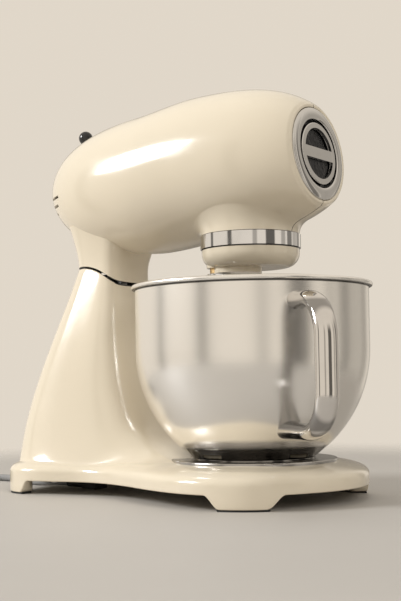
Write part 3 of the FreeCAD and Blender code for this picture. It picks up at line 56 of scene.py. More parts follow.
class Wire:
    """One output of a shader node. Sums, differences and products of it add Math nodes."""

    def __init__(self, tree, socket):
        self.tree = tree
        self.socket = socket

    def feed(self, socket, value):
        """Links another output to a socket, or sets the socket's own value."""
        if isinstance(value, Wire):
            self.tree.links.new(value.socket, socket)
        else:
            socket.default_value = value

    def add(self, kind, settings=None, inputs=None, output=0):
        """Adds a node, makes its settings, then fills its sockets, and gives one of its outputs."""
        node = self.tree.nodes.new(kind)
        for name, value in (settings or {}).items():
            setattr(node, name, value)
        for name, value in (inputs or {}).items():
            self.feed(node.inputs[name], value)
        return Wire(self.tree, node.outputs[output])

    def noise(self, scale, detail, stretch=(1.0, 1.0, 1.0)):
        """Noise over Object coordinates, finer along an axis whose stretch is larger."""
        place = self.add("ShaderNodeMapping", None, {"Vector": self, "Scale": stretch})
        return self.add("ShaderNodeTexNoise", None, {"Vector": place, "Scale": scale, "Detail": detail})

    def between(self, low, high):
        """A soft step: 0 below low and 1 above high."""
        return self.add("ShaderNodeMapRange", {"interpolation_type": "SMOOTHSTEP"},
                        {"Value": self, "From Min": low, "From Max": high})

    def tint(self, first, second):
        """A colour that goes from the first to the second as this value goes from 0 to 1."""
        return self.add("ShaderNodeMix", {"data_type": "RGBA"}, {0: self, 6: (*first, 1), 7: (*second, 1)}, 2)

    def coordinate(self, axis):
        """The X, Y or Z of a vector, for axis 0, 1 or 2."""
        return self.add("ShaderNodeSeparateXYZ", None, {0: self}, axis)

    def vector(self, operation, other=(0, 0, 0), output=0):
        """A Vector Math node on this vector and another. Its output 1 is a number."""
        return self.add("ShaderNodeVectorMath", {"operation": operation}, {0: self, 1: other}, output)

    def reach(self, heart, along):
        """Distance from a line through a point along a direction."""
        return self.vector("SUBTRACT", heart).vector("CROSS_PRODUCT", along).vector("LENGTH", output=1)

    def shade(self, colour, dark):
        """A colour output darkened to one colour as this value goes from 0 to 1."""
        return self.add("ShaderNodeMix", {"data_type": "RGBA"}, {0: self, 6: colour, 7: (*dark, 1)}, 2)

    def relief(self, depth):
        """A Bump node with this value as its height, depth metres at 1."""
        return self.add("ShaderNodeBump", None, {"Height": self, "Distance": depth, "Strength": 1.0})

    def maths(self, operation, first, second):
        """A Math node on two values."""
        return self.add("ShaderNodeMath", {"operation": operation}, {0: first, 1: second})

    def __add__(self, other):
        return self.maths("ADD", self, other)

    def __sub__(self, other):
        return self.maths("SUBTRACT", self, other)

    def __rsub__(self, other):
        return self.maths("SUBTRACT", other, self)

    def __mul__(self, other):
        return self.maths("MULTIPLY", self, other)

    __radd__ = __add__
    __rmul__ = __mul__


def new_finish(name):
    """A new material, a function that fills its shader's sockets, and its Object coordinates."""
    material = bpy.data.materials.new(name)
    material.use_nodes = True
    tree = material.node_tree
    shader = tree.nodes["Principled BSDF"]
    place = Wire(tree, tree.nodes.new("ShaderNodeTexCoord").outputs["Object"])

    def fill(**sockets):
        """Gives sockets their values; an underscore stands for a space in a socket's name."""
        for socket, value in sockets.items():
            place.feed(shader.inputs[socket.replace("_", " ")], value)

    return material, fill, place


def enamel(name, colour, gap=None):
    """Sprayed enamel: faintly cloudy in tone, glossy, with fine orange peel and duller wiped patches.
    A gap gives a mask that is painted dark and loses its coat: a dark joint where two halves meet, and
    painted shade in gaps between parts."""
    material, fill, place = new_finish(name)
    cloud = place.noise(7.0, 3.0).between(0.3, 0.7)
    wiped = place.noise(26.0, 4.0).between(0.45, 0.75)
    peel = place.noise(620.0, 1.0) + place.noise(210.0, 1.0) * 1.5
    deep = tuple(part * 0.955 for part in colour)
    skin = cloud.tint(deep, colour)
    gloss = 0.55 - wiped * 0.15
    if gap:
        # Painted shade: the gap's mask darkens the colour where shade falls in gaps; on a seam it is a dark
        # joint.
        dark_joint_and_shade = gap(place)
        skin = dark_joint_and_shade.shade(skin, (0.03, 0.025, 0.02))
        gloss = gloss * (1 - dark_joint_and_shade)
    fill(Base_Color=skin, Roughness=0.15 + wiped * 0.09, Coat_Weight=gloss, Coat_Roughness=0.05, IOR=1.5,
         Normal=peel.relief(0.00002))
    return material


cream = (0.86, 0.77, 0.61)
cream_enamel = enamel("cream_enamel", cream)


def sheet_of(points, wrap=False):
    """Quads between the rows and columns of a grid of points; row step times column step points outwards."""
    rows, columns = points.shape[:2]
    index = np.arange(rows * columns).reshape(rows, columns)
    if wrap:
        index = np.hstack([index, index[:, :1]])
    quads = np.stack([index[:-1, :-1], index[1:, :-1], index[1:, 1:], index[:-1, 1:]], -1)
    return points.reshape(-1, 3), quads.reshape(-1, 4)


def bare_piece(name, sheets):
    """One object from sheets of points in millimetres, measured from the point under the bowl's axis."""
    starts = np.cumsum([0] + [len(points) for points, quads in sheets])
    points = np.vstack([points for points, quads in sheets]) * 0.001 + (bowl_axis, 0, 0)
    quads = [quad for (_, sheet), start in zip(sheets, starts) for quad in (sheet + start).tolist()]
    mesh = bpy.data.meshes.new(name)
    mesh.from_pydata(points.tolist(), [], quads)
    piece = bpy.data.objects.new(name, mesh)
    bpy.context.scene.collection.objects.link(piece)
    return piece


def add_sheet(piece, sheet):
    """Adds one more sheet to a piece's mesh."""
    extra = bare_piece("extra", [sheet])
    whole = bmesh.new()
    whole.from_mesh(piece.data)
    whole.from_mesh(extra.data)
    whole.to_mesh(piece.data)
    whole.free()
    bpy.data.objects.remove(extra)


def merge_doubles(piece, face_out=False):
    """Merges points that lie together and drops faces without area. The faces of a closed shell can be turned
    outwards too."""
    same_place = 2e-6
    no_length = 1e-6
    whole = bmesh.new()
    whole.from_mesh(piece.data)
    bmesh.ops.remove_doubles(whole, verts=whole.verts, dist=same_place)
    bmesh.ops.dissolve_degenerate(whole, edges=whole.edges, dist=no_length)
    if face_out:
        bmesh.ops.recalc_face_normals(whole, faces=whole.faces)
    whole.to_mesh(piece.data)
    whole.free()


def face_centres(mesh):
    """The x, y and z of the middle of each face, in millimetres from the point under the bowl's axis."""
    centre = np.empty(len(mesh.polygons) * 3)
    mesh.polygons.foreach_get("center", centre)
    return ((centre.reshape(-1, 3) - (bowl_axis, 0, 0)) * 1000).T


def shape_piece(name, sheets, finish, body, slot, *replaced, crease=35.0):
    """A finished piece from its sheets."""
    return dress_piece(bare_piece(name, sheets), finish, body, slot, *replaced, crease=crease)


def dress_piece(piece, finish, body, slot, *replaced, crease=35.0):
    """Merges a mesh's doubles, smooths it, gives it its finish and joins it to its body."""
    merge_doubles(piece)
    piece.data.shade_smooth()
    piece.data.set_sharp_from_angle(angle=np.radians(crease))
    piece.data.materials.clear()
    piece.data.materials.append(finish)
    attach(piece, body)
    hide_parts(*replaced)
    return piece


def smooth_step(value):
    """0 below 0, 1 above 1 and 3v² - 2v³ between."""
    held = np.clip(value, 0, 1)
    return held * held * (3 - 2 * held)


half_outline = np.array([(104.6, 0), (98.1, 34.5), (81.5, 69), (60.5, 94), (20, 108.5), (-65, 89.25),
                         (-150, 70), (-232, 81.5), (-258.5, 53.8), (-266, 0)])


def closed_line(half, count):
    """A periodic cubic spline through the points and their mirror images, cut into equal steps."""
    corners = np.vstack([half, half[-2:0:-1] * (1, -1)])
    after = np.roll(corners, -1, 0)
    step = np.linalg.norm(after - corners, axis=1)
    before = np.roll(step, 1)
    slope = (after - corners) / step[:, None]
    unit = np.eye(len(corners))
    system = unit * 2 * (step + before)[:, None]
    system += np.roll(unit, 1, 1) * step[:, None] + np.roll(unit, -1, 1) * before[:, None]
    bend = np.linalg.solve(system, 6 * (slope - np.roll(slope, 1, 0)))[:, None]
    share = np.linspace(0, 1, 60, endpoint=False)[None, :, None]
    rest = 1 - share
    square = (step ** 2 / 6)[:, None, None]
    fine = rest * corners[:, None] + share * after[:, None]
    fine = fine + square * ((rest ** 3 - rest) * bend + (share ** 3 - share) * np.roll(bend, -1, 0))
    fine = fine.reshape(-1, 2)
    fine = np.vstack([fine, fine[:1]])
    run = np.append(0, np.cumsum(np.linalg.norm(np.diff(fine, axis=0), axis=1)))
    even = np.linspace(0, run[-1], count, endpoint=False)
    return np.stack([np.interp(even, run, fine[:, axis]) for axis in (0, 1)], -1)


outline = closed_line(half_outline, 640)
outline_run = np.roll(outline, -1, 0) - np.roll(outline, 1, 0)
outline_run /= np.linalg.norm(outline_run, axis=1)[:, None]
outward = np.stack([outline_run[:, 1], -outline_run[:, 0]], -1)
skirt_top = 17.5
skirt_bottom = 13.0
crown_top = 35.2
crown_inset = 38.0


def inset_of(x, y):
    """The distance from each place to the nearest of the outline's short runs."""
    run = np.roll(outline, -1, 0) - outline
    nearest = []
    for row_x, row_y in zip(x, y):
        away = np.stack([row_x, row_y], -1)[:, None] - outline[None]
        share = np.clip((away * run).sum(-1) / (run * run).sum(-1), 0, 1)
        nearest.append(np.linalg.norm(away - share[..., None] * run, axis=-1).min(1))
    return np.array(nearest)


def crown_height(inset):
    """The top of the base: a quick rounded shoulder that flattens to a level top."""
    return skirt_top + (crown_top - skirt_top) * np.clip(inset / crown_inset, 0, 1) ** (0.8 / 3)


column_top = 222.0
column_rear, rear_spread = -198.4, 63.6
column_front, front_spread, toe_spread = -143.0, 24.5, 66.5
column_half, side_spread = 32.5, 36.5


def column_edges(z):
    """Rear, front and half-width of the column at a height: those of its top, and spreads that grow with
    powers of the share fallen. Below the skirt they spread on. The share fallen comes last."""
    fall = np.clip((column_top - z) / (column_top - skirt_bottom), 0, 1)
    below = np.maximum(skirt_bottom - z, 0)
    rear = column_rear - rear_spread * np.sin(np.pi / 2 * fall) ** 1.15 - below
    front = column_front + front_spread * fall ** 1.5 + toe_spread * fall ** 5 + below
    return rear, front, column_half + side_spread * fall + below, fall


def column_cover(x, y, z):
    """Above 0 where the column covers a place at a height. Its section is a rounded oblong, squarer at
    its front corners and narrower towards its front."""
    rear, front, half, fall = column_edges(z)
    front_power, rear_power, taper = 5.0, 2.8, 0.28
    across = (x - (rear + front) / 2) / ((front - rear) / 2)
    power = np.where(across > 0, front_power, rear_power)
    width = half * np.clip(1 - np.abs(across) ** power, 0, None) ** (1 / power) * (1 - taper * fall * across)
    return np.where(np.abs(across) < 1, width - np.abs(y), -1.0)


stand_heart = np.array([-168.0, 0.0])
spokes = outline - stand_heart
spoke_length = np.linalg.norm(spokes, axis=1)
spokes /= spoke_length[:, None]


def last_covered(low, high, cover):
    """The last value from low to high with a cover above 0, by halving the span."""
    for _ in range(40):
        middle = (low + high) / 2
        inside = cover(middle) > 0
        low = np.where(inside, middle, low)
        high = np.where(inside, high, middle)
    return low


def column_reach(z):
    """How far along each spoke the column goes at a height."""
    def cover(away):
        """The column's cover that far along each spoke."""
        return column_cover(stand_heart[0] + away * spokes[:, 0], away * spokes[:, 1], z)

    heart = np.zeros(np.broadcast(z, spoke_length).shape)
    past_base = 330.0
    return last_covered(heart, heart + past_base, cover)


def column_height(x, y):
    """The highest level at which the column still covers a place."""
    under_base = -120.0
    return last_covered(np.full(x.shape, under_base), np.full(x.shape, column_top),
                        lambda level: column_cover(x, y, level))


split_x = -182.6
split_z = 167.0
cradle_radius = 54.3
cradle_wall = 3.4
cradle_deck = 188.0
cradle_lip = 1.5
rebate_level = 212.0
lip_round = 0.9
foot_level = 58.0
skirt_wall, foot_wall = 5.2, 16.0
sole_level = 1.6
foot_edge, heel_edge = 14.0, 9.0
front_foot_place = (21.7, 71.2)
rear_foot_place = (-209.7, 57.2)
skirt_inside_top = 14.6


def cradle_edge():
    """Height on each spoke where the column meets the hinge's round cradle, by repeated substitution."""
    first_guess = 210.0
    z = np.full(len(spokes), first_guess)
    for _ in range(30):
        x = stand_heart[0] + column_reach(z) * spokes[:, 0]
        z = split_z + np.sqrt(np.clip(cradle_radius ** 2 - (x - split_x) ** 2, 0, None))
    return z


def stand_skin():
    """Spokes from the column's heart: cradle floor, lip, column, a blended foot, crown, skirt and foot soles.
    Where column and crown meet, the higher of the two is raised by (k - |difference|)² / 4k."""
    lip = cradle_edge()
    reach = column_reach(lip)
    deck = lip * 0 + cradle_deck
    rebate = np.minimum(rebate_level, lip - lip_round)
    thin = np.where(lip > rebate_level + lip_round, cradle_lip, cradle_wall)
    rows = [(reach * 0, deck), (reach * 0.5, deck), (reach - cradle_wall, deck),
            (reach - cradle_wall, rebate), (reach - thin, rebate), (reach - thin, lip - lip_round),
            (reach - thin + 0.3, lip - 0.25), (reach - thin + 0.6, lip), (reach - 0.6, lip),
            (reach - 0.3, lip - 0.25)]
    inside = len(rows)
    for share in np.linspace(0, 1, 44):
        z = (lip - lip_round) + (foot_level - lip + lip_round) * share
        rows.append((column_reach(z), z))
    foot_row = len(rows)
    start = rows[-1][0]
    for share in np.linspace(1, 0, 46)[1:]:
        rows.append((spoke_length - (spoke_length - start) * share ** 2.2, None))
    reach = np.array([row[0] for row in rows])
    x = stand_heart[0] + reach * spokes[:, 0]
    y = reach * spokes[:, 1]
    inset = inset_of(x, y)
    inset[-1] = 0.0
    crown = crown_height(inset)
    column = column_height(x[foot_row:], y[foot_row:])
    z = np.array([row[1] if row[1] is not None else column[0] for row in rows])
    z[foot_row:] = column
    edge_blend, deep_blend, deep_inset = 1.0, 44.0, 40.0
    blend = edge_blend + deep_blend * smooth_step(inset / deep_inset)
    near = np.clip(blend - np.abs(z - crown), 0, None)
    lifted = np.maximum(z, crown) + near ** 2 / (4 * blend)
    z[inside + 6:] = lifted[inside + 6:]
    along = np.abs(outline[:, 1])
    front_foot = smooth_step((outline[:, 0] - front_foot_place[0]) / foot_edge)
    front_foot = front_foot * smooth_step((along - front_foot_place[1]) / foot_edge)
    rear_foot = smooth_step((rear_foot_place[0] - outline[:, 0]) / heel_edge)
    rear_foot = rear_foot * smooth_step((along - rear_foot_place[1]) / foot_edge)
    foot = np.maximum(front_foot, rear_foot)
    sole = skirt_bottom - (skirt_bottom - sole_level) * foot
    wall = skirt_wall + (foot_wall - skirt_wall) * foot
    skirt = []
    for share in (0.33, 0.66):
        skirt.append((foot * 0, skirt_top + (sole + 1.1 - skirt_top) * share))
    for deep, rise in ((0.0, 1.1), (0.12, 0.6), (0.45, 0.2), (1.1, 0.0)):
        skirt.append((foot * 0 + deep, sole + rise))
    for deep, rise in ((1.0, 0.0), (0.3, 0.3), (0.0, 1.2)):
        skirt.append((wall - deep, sole + rise))
    skirt.append((wall, foot * 0 + skirt_inside_top))
    top = np.stack([x, y, z], -1)
    low = np.array([np.column_stack([outline - outward * deep[:, None], level]) for deep, level in skirt])
    return np.concatenate([top, low])


seat_radius = 57.4
seat_floor = 29.6


def without_seat(sheet):
    """Leaves out the quads of the crown that lie over the bowl's seat."""
    points, quads = sheet
    centre = points[quads].mean(1)
    over = (np.hypot(centre[:, 0], centre[:, 1]) < seat_radius) & (centre[:, 2] > 20)
    return points, quads[~over]


def turned(profile, steps=144, heart=(0, 0, 0), along=(0, 0, 1)):
    """A profile of (radius, distance along the axis) carried round an axis; it runs so that it keeps
    the outside on its left hand, looking with the axis upwards and the radius to the right."""
    profile = np.array(profile, float)
    along = np.array(along, float) / np.linalg.norm(along)
    side = np.cross((0, 1, 0), along)
    side /= np.linalg.norm(side)
    other = np.cross(along, side)
    angle = np.radians(np.linspace(0, 360, steps, endpoint=False))[None, :, None]
    away = np.cos(angle) * side + np.sin(angle) * other
    points = np.array(heart) + profile[:, 0, None, None] * away + profile[:, 1, None, None] * along
    return sheet_of(points, wrap=True)


def hinge_faces():
    """The casting's own ears and latch guide, which stand on the cradle's deck: its triangles there."""
    mesh = nodes["stand_casting"].data
    mesh.calc_loop_triangles()
    points = np.empty(len(mesh.vertices) * 3)
    mesh.vertices.foreach_get("co", points)
    points = (points.reshape(-1, 3) - (bowl_axis, 0, 0)) * 1000
    corners = np.empty(len(mesh.loop_triangles) * 3, int)
    mesh.loop_triangles.foreach_get("vertices", corners)
    corners = corners.reshape(-1, 3)
    centre = points[corners].mean(1)
    ears_rear, ears_front, ears_half = -192.5, -150.0, 20.0
    inside = (np.abs(centre[:, 1]) < ears_half) & (centre[:, 2] > cradle_deck + 0.2)
    inside &= (centre[:, 0] > ears_rear) & (centre[:, 0] < ears_front)
    used, corners = np.unique(corners[inside], return_inverse=True)
    return points[used], corners.reshape(-1, 3)


seat_rim = crown_top - 0.05
seat_cup = turned([(0, seat_floor), (seat_radius, seat_floor), (seat_radius, seat_rim), (70, seat_rim)])
stand = shape_piece("stand_skin", [without_seat(sheet_of(stand_skin(), wrap=True)), seat_cup, hinge_faces()],
                    cream_enamel, "base", "cream_paint", "stand_casting")


def mark_cradle(piece, finish):
    """Gives the unsprayed inside of the cradle, more than 0.4 mm within the column's skin, its own finish,
    painted near black as shade.
    """
    mesh = piece.data
    mesh.materials.append(finish)
    x, y, z = face_centres(mesh)
    within = (z > cradle_deck - 1) & (column_cover(x, y, z) > 0.4)
    mesh.polygons.foreach_set("material_index", within.astype(np.int32))


def cast_skin(name, colour):
    """Raw casting left unsprayed: dull and finely pitted, in the colour given; near black, it is painted
    shade.
    """
    material, fill, place = new_finish(name)
    pits = place.noise(800.0, 4.0)
    fill(Base_Color=pits.tint(colour, tuple(part * 1.5 for part in colour)), Roughness=0.7 + pits * 0.2,
         Normal=pits.relief(0.0001))
    return material


# Painted shade: the unsprayed insides of the cradle and of the head, and the walls of its slots, are painted
# near black.
painted_shade_casting = cast_skin("painted_shade_casting", (0.035, 0.032, 0.028))
mark_cradle(stand, painted_shade_casting)


# Base fittings: a pressed steel cover under the casting, four moulded rubber pads, and the bowl's
# steel lock plate, all held with screws from above or below.

def coat(finish, *names):
    """Gives CAD nodes their finish."""
    for name in names:
        mesh = nodes[name].data
        mesh.materials.clear()
        mesh.materials.append(finish)


def rubber(name, colour):
    """Moulded rubber or cable sheath: dull, with a fine pebbled skin and pale dust in its hollows."""
    material, fill, place = new_finish(name)
    pebble = place.noise(900.0, 3.0)
    dust = place.noise(40.0, 4.0).between(0.5, 0.8)
    pale = tuple(part * 1.35 + 0.01 for part in colour)
    fill(Base_Color=dust.tint(colour, pale), Roughness=0.62 + pebble * 0.2, Normal=pebble.relief(0.00008))
    return material


def machined(name, colour, dark, grain=(1.0, 1.0, 1.0), roughness=0.28):
    """Cut or rolled metal: fine tool marks, drawn out where the grain is small, and patchy tarnish."""
    material, fill, place = new_finish(name)
    marks = place.noise(700.0, 2.0, grain)
    tarnish = place.noise(60.0, 5.0).between(0.4, 0.75)
    fill(Base_Color=tarnish.tint(colour, dark), Metallic=1.0, Roughness=roughness + marks * 0.14,
         Normal=marks.relief(0.00003))
    return material


pad_rubber = rubber("pad_rubber", (0.022, 0.022, 0.023))
plate_steel = machined("plate_steel", (0.46, 0.45, 0.44), (0.36, 0.35, 0.33), (1.0, 1.0, 0.1), 0.1)
coat(enamel("cover_enamel", (0.60, 0.57, 0.50)), "base_cover")
coat(pad_rubber, "rubber_feet")
coat(plate_steel, "bowl_lock_plate", "lock_plate_screws", "base_cover_screws")


# Mains lead: grey sheathed cable. It leaves a moulded strain relief under the heel, runs back along the
# worktop and is wound in five turns with its plug beside them.

lead_grey = rubber("lead_grey", (0.29, 0.29, 0.29))
lead_route = np.array([(-222.0, -12.0, 5.2), (-246.0, -12.0, 5.2), (-272.0, -11.0, 3.6), (-300.0, -1.0, 3.6),
                       (-328.0, 8.0, 3.6), (-356.0, 8.0, 3.6)])
coil_heart = np.array([-402.0, -45.0])
coil_turn = np.arange(0.0, 1751.0, 25.0)
coil_reach = np.interp(coil_turn, [280, 350, 1150, 1220], [42.5, 35.5, 35.5, 42.5])
coil_rise = np.interp(coil_turn, [570, 640, 860, 930, 1440, 1510], [3.6, 10.6, 10.6, 17.6, 17.6, 10.6])
coil_angle = np.radians(62.0 + coil_turn)
coil_points = np.column_stack([coil_heart[0] + coil_reach * np.cos(coil_angle),
                               coil_heart[1] + coil_reach * np.sin(coil_angle), coil_rise])
lead_end = np.array([(-363.5, -21.0, 10.6), (-371.0, -5.5, 10.6), (-384.0, 6.0, 10.2), (-398.0, 10.5, 8.6),
                     (-408.0, 10.5, 8.0)])
lead_points = np.vstack([lead_route, coil_points, lead_end]) * 0.001
lead_points[:, 0] += bowl_axis
lead_curve = bpy.data.curves.new("mains_lead", "CURVE")
lead_curve.dimensions = "3D"
lead_curve.bevel_depth = 0.0035
lead_curve.bevel_resolution = 5
lead_curve.use_fill_caps = True
lead_spline = lead_curve.splines.new("NURBS")
lead_spline.points.add(len(lead_points) - 1)
lead_spline.points.foreach_set("co", np.column_stack([lead_points, np.ones(len(lead_points))]).ravel())
lead_spline.order_u = 3
lead_spline.use_endpoint_u = True
lead_spline.resolution_u = 6
mains_lead = bpy.data.objects.new("mains_lead", lead_curve)
lead_curve.materials.append(lead_grey)
bpy.context.scene.collection.objects.link(mains_lead)
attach(mains_lead, "base")
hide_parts("power_cord", "cord_coil")
plug_black = rubber("plug_black", (0.035, 0.035, 0.037))
coat(plug_black, "power_plug", "cord_gland")


# Hinge and head release: a steel pin through bronze bushes in the neck, a toothed quadrant, and a sprung
# button at the rear of the column that draws the latch bar forward.

def plating(name, colour, roughness=0.05, inner=None):
    """Polished plate: nearly a mirror, with faint wiped smears and a trace of waviness. An inner mask gives
    painted shade: the sides that face in are darkened."""
    material, fill, place = new_finish(name)
    smear = place.noise(55.0, 4.0).between(0.45, 0.8)
    ripple = place.noise(90.0, 1.0)
    dull = tuple(part * 0.93 for part in colour)
    skin = smear.tint(colour, dull)
    if inner:
        # Painted shade on the sides that face in.
        skin = inner(place).shade(skin, tuple(part * 0.45 for part in colour))
    fill(Base_Color=skin, Metallic=1.0, Roughness=roughness + smear * 0.07, Normal=ripple.relief(0.00002))
    return material


bright_chrome = plating("bright_chrome", (0.80, 0.80, 0.81))
turned_steel = machined("turned_steel", (0.60, 0.60, 0.60), (0.46, 0.45, 0.44), (0.15, 1.0, 1.0))
bush_bronze = machined("bush_bronze", (0.62, 0.44, 0.22), (0.42, 0.29, 0.15))
coat(turned_steel, "tilt_hinge_pin", "tilt_quadrant", "latch_bar", "housing_screws", "shell_screws")
coat(bush_bronze, "hinge_bushes", "countershaft_bushes", "spindle_bushes")
coat(bright_chrome, "release_button")
spring_low, spring_high = [(np.array(corner) - (bowl_axis, 0, 0)) * 1000
                           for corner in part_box("button_spring")]


def return_spring(turns=4, wire=0.5):
    """A round wire carried along a helix about the latch bar, its ends drawn in to points."""
    share = np.linspace(0, 1, turns * 24 + 1)[:, None]
    heart = (spring_low + spring_high) / 2
    girth = (spring_high[1] - spring_low[1]) / 2 - wire
    run = spring_high[0] - spring_low[0] - 2 * wire
    turn = 2 * np.pi * turns * share
    pitch = np.arctan2(run, 2 * np.pi * turns * girth)
    round_wire = np.linspace(0, 2 * np.pi, 12, endpoint=False)[None, :]
    thick = wire * ((share > 0) & (share < 1))
    out = girth + thick * np.cos(round_wire)
    side = thick * np.sin(round_wire)
    along = spring_low[0] + wire + run * share + side * np.cos(pitch)
    swing = turn - side * np.sin(pitch) / girth
    points = np.stack([along, heart[1] + out * np.cos(swing), heart[2] + out * np.sin(swing)], -1)
    return sheet_of(points, wrap=True)


spring = bare_piece("return_spring", [return_spring()])
merge_doubles(spring, face_out=True)
dress_piece(spring, turned_steel, "base", "bearing_steel", "button_spring", crease=60.0)
spring_run = (spring_high[0] - spring_low[0]) / 1000
button_travel = 0.005
(spring_run - button_travel) / spring_run
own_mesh(spring)


# Neck: an aluminium casting in the same enamel, bolted under the gear housing. It swells into the head's
# belly, and its round underside rolls over the cradle of the stand.

def hinge_shade(place):
    """1 on the neck's round underside, which faces the cradle, where the shade in the hinge gap is painted.
    """
    heart = (bowl_axis + split_x * 0.001, 0, split_z * 0.001)
    return 1 - place.reach(heart, (0, 1, 0)).between(0.0561, 0.0564)


# The neck's round underside is painted dark: painted shade in the gap over the cradle.
coat(enamel("neck_enamel", cream, hinge_shade), "neck_casting")


# Head: two thin die-cast halves that meet on a fine seam down the middle, screwed to the gear housing. The
# round boss under the nose carries the planetary; slots in the tail let cooling air out.

head_widest = -38.6
head_radius = 69.0
hub_height = 307.6
nose_x = 74.3
nose_tilt = np.radians(5.2)
head_wall = 2.6
nose_run, nose_power = 140.4, 2.62
tail_run, tail_power = 197.7, 3.3
tail_drop, tail_drop_run = 6.6, 80.0


def head_line(x):
    """The head's middle line, which drops by a smooth step behind the widest place."""
    return hub_height - tail_drop * smooth_step((head_widest - x) / tail_drop_run)


def head_lean(x):
    """Sections in front of the bowl's axis lean back, by the square of their distance."""
    return nose_tilt * (np.clip(x, 0, None) / nose_x) ** 2


def head_girth(x):
    """Section radius: the widest times the root of 1 less a power of the distance from the widest place."""
    ahead = np.clip((x - head_widest) / nose_run, 0, 1) ** nose_power
    behind = np.clip((head_widest - x) / tail_run, 0, 1) ** tail_power
    return head_radius * np.sqrt(1 - ahead - behind)


def head_place(x, radius, turn, side):
    """A point on a leaning section. Turn goes from 0 at the top to pi underneath; side is 1 or -1."""
    lean = head_lean(x)
    return np.stack([x - radius * np.cos(turn) * np.sin(lean), side * radius * np.sin(turn),
                     head_line(x) + radius * np.cos(turn) * np.cos(lean)], -1)


seam_round = 0.8
seam_steps = np.array([0.05, 0.2, 0.4, 0.7, 1.2, 2.6])
rim_inside = 42.9
rim_depth = 9.0
rim_back = nose_x - rim_depth
tail_inside = -233.7


def seam_dip(distance):
    """The rounded edge of a half beside the seam."""
    return seam_round * (1 - np.clip(distance / seam_round, 0, 1)) ** 2


def head_half(side):
    """Closed loops, over the outside and back along the inside, at stations from the nose to the tail tip."""
    front = np.linspace(0.8505, 0, 36, endpoint=False)[1:]
    rear = np.pi / 2 * np.linspace(0, 1, 76) ** 1.2
    x = np.append(head_widest + nose_run * np.sin(front) ** (2 / nose_power),
                  head_widest - tail_run * np.sin(rear) ** (2 / tail_power))
    radius = head_radius * np.cos(np.append(front, rear))
    x = x[x < nose_x - 1.6]
    radius = radius[-len(x):]
    lip = np.array([(rim_inside, -rim_depth), (42.05, -rim_depth), (42.05, -1.2), (42.2, -0.5), (42.7, -0.1),
                    (43.4, 0.0), (44.2, 0.0), (44.9, -0.15), (45.4, -0.6), (45.75, -1.3)])
    outer_x = np.append(nose_x + lip[:, 1], x)[:, None]
    outer_radius = np.append(lip[:, 0], radius)[:, None]
    inner_x = np.append(np.full(len(lip), rim_back), np.minimum(x, rim_back))[:, None]
    inner_radius = np.append(np.full(len(lip), rim_inside), np.clip(radius - head_wall, 0, None))[:, None]
    inner_radius = np.where(inner_x > rim_back - 0.5, rim_inside, inner_radius)
    inner_x = np.maximum(inner_x, tail_inside)
    steps = np.arange(1, len(seam_steps) + 1)[None, :]
    narrow = np.minimum(seam_steps[None, :] / np.maximum(outer_radius, 1e-6), steps * 0.03)
    share = np.linspace(0, 1, 84)[None, 1:-1]
    middle = narrow[:, -1:] + (np.pi - 2 * narrow[:, -1:]) * share
    turn = np.hstack([narrow, middle, np.pi - narrow[:, ::-1]])
    near = np.minimum(turn, np.pi - turn) * outer_radius
    outer = head_place(outer_x, np.clip(outer_radius - seam_dip(near), 0, None), turn, side)
    inner_turn = np.clip(np.linspace(np.pi, 0, 30)[None, :], 0.001, np.pi - 0.001)
    inner = head_place(inner_x, inner_radius, inner_turn, side)
    return sheet_of(np.concatenate([outer, inner], 1), wrap=True)


def belly(x, y):
    """Height of the head's underside, found by stepping back along the sections' lean."""
    station = x
    for _ in range(12):
        fall = np.sqrt(np.clip(head_girth(station) ** 2 - y ** 2, 0, None))
        station = x - fall * np.sin(head_lean(station))
    return head_line(station) - fall * np.cos(head_lean(station))


def quadratic(share, start, middle, end):
    """A quadratic curve from start to end that leans towards the middle."""
    return (1 - share) ** 2 * start + 2 * share * (1 - share) * middle + share ** 2 * end


boss_bore = 43.2


def boss_half(side):
    """A short wall round the planetary that sweeps out into the belly on a quadratic curve."""
    wall = 45.4
    sweep = 12.0
    edge = np.degrees(seam_steps[:-1] / wall)
    angle = np.radians(np.concatenate([edge, np.linspace(2.5, 177.5, 80), 180 - edge[::-1]]))[None, :]
    dip = seam_dip(np.minimum(angle, np.pi - angle) * wall)
    reach = [boss_bore, boss_bore, 43.5, 44.2, 44.8, 45.3, wall]
    level = [236.0, 230.4, 229.8, 229.6, 229.65, 229.95, 230.6]
    low = np.array(level)[:, None] + 0 * angle
    radius = np.array(reach)[:, None] - dip
    corner = belly(wall * np.cos(angle), wall * np.sin(angle))
    start = np.maximum(corner - sweep, np.minimum(corner - 0.3, 241.0))
    end = belly((wall + sweep) * np.cos(angle), (wall + sweep) * np.sin(angle))
    share = np.linspace(0, 1, 14)[:, None]
    radius = np.vstack([radius, quadratic(share, wall, wall, wall + sweep) - dip])
    height = np.vstack([low, quadratic(share, start, corner, end)])
    points = np.stack([radius * np.cos(angle), side * radius * np.sin(angle), height], -1)
    return sheet_of(points[:, ::-1] if side > 0 else points)


def box_of(low, high, heart=(0, 0, 0), slope=0.0):
    """A closed box, tipped up about Y by a slope."""
    corner = np.array([(low[0], high[0])[i] for i in (0, 1, 1, 0)] * 2)
    across = np.array([(low[1], high[1])[i] for i in (0, 0, 1, 1)] * 2)
    tall = np.repeat([low[2], high[2]], 4)
    points = np.stack([corner * np.cos(slope) - tall * np.sin(slope), across,
                       corner * np.sin(slope) + tall * np.cos(slope)], -1) + np.array(heart)
    quads = np.array([(3, 2, 1, 0), (4, 5, 6, 7), (0, 1, 5, 4), (1, 2, 6, 5), (2, 3, 7, 6), (3, 0, 4, 7)])
    return points, quads


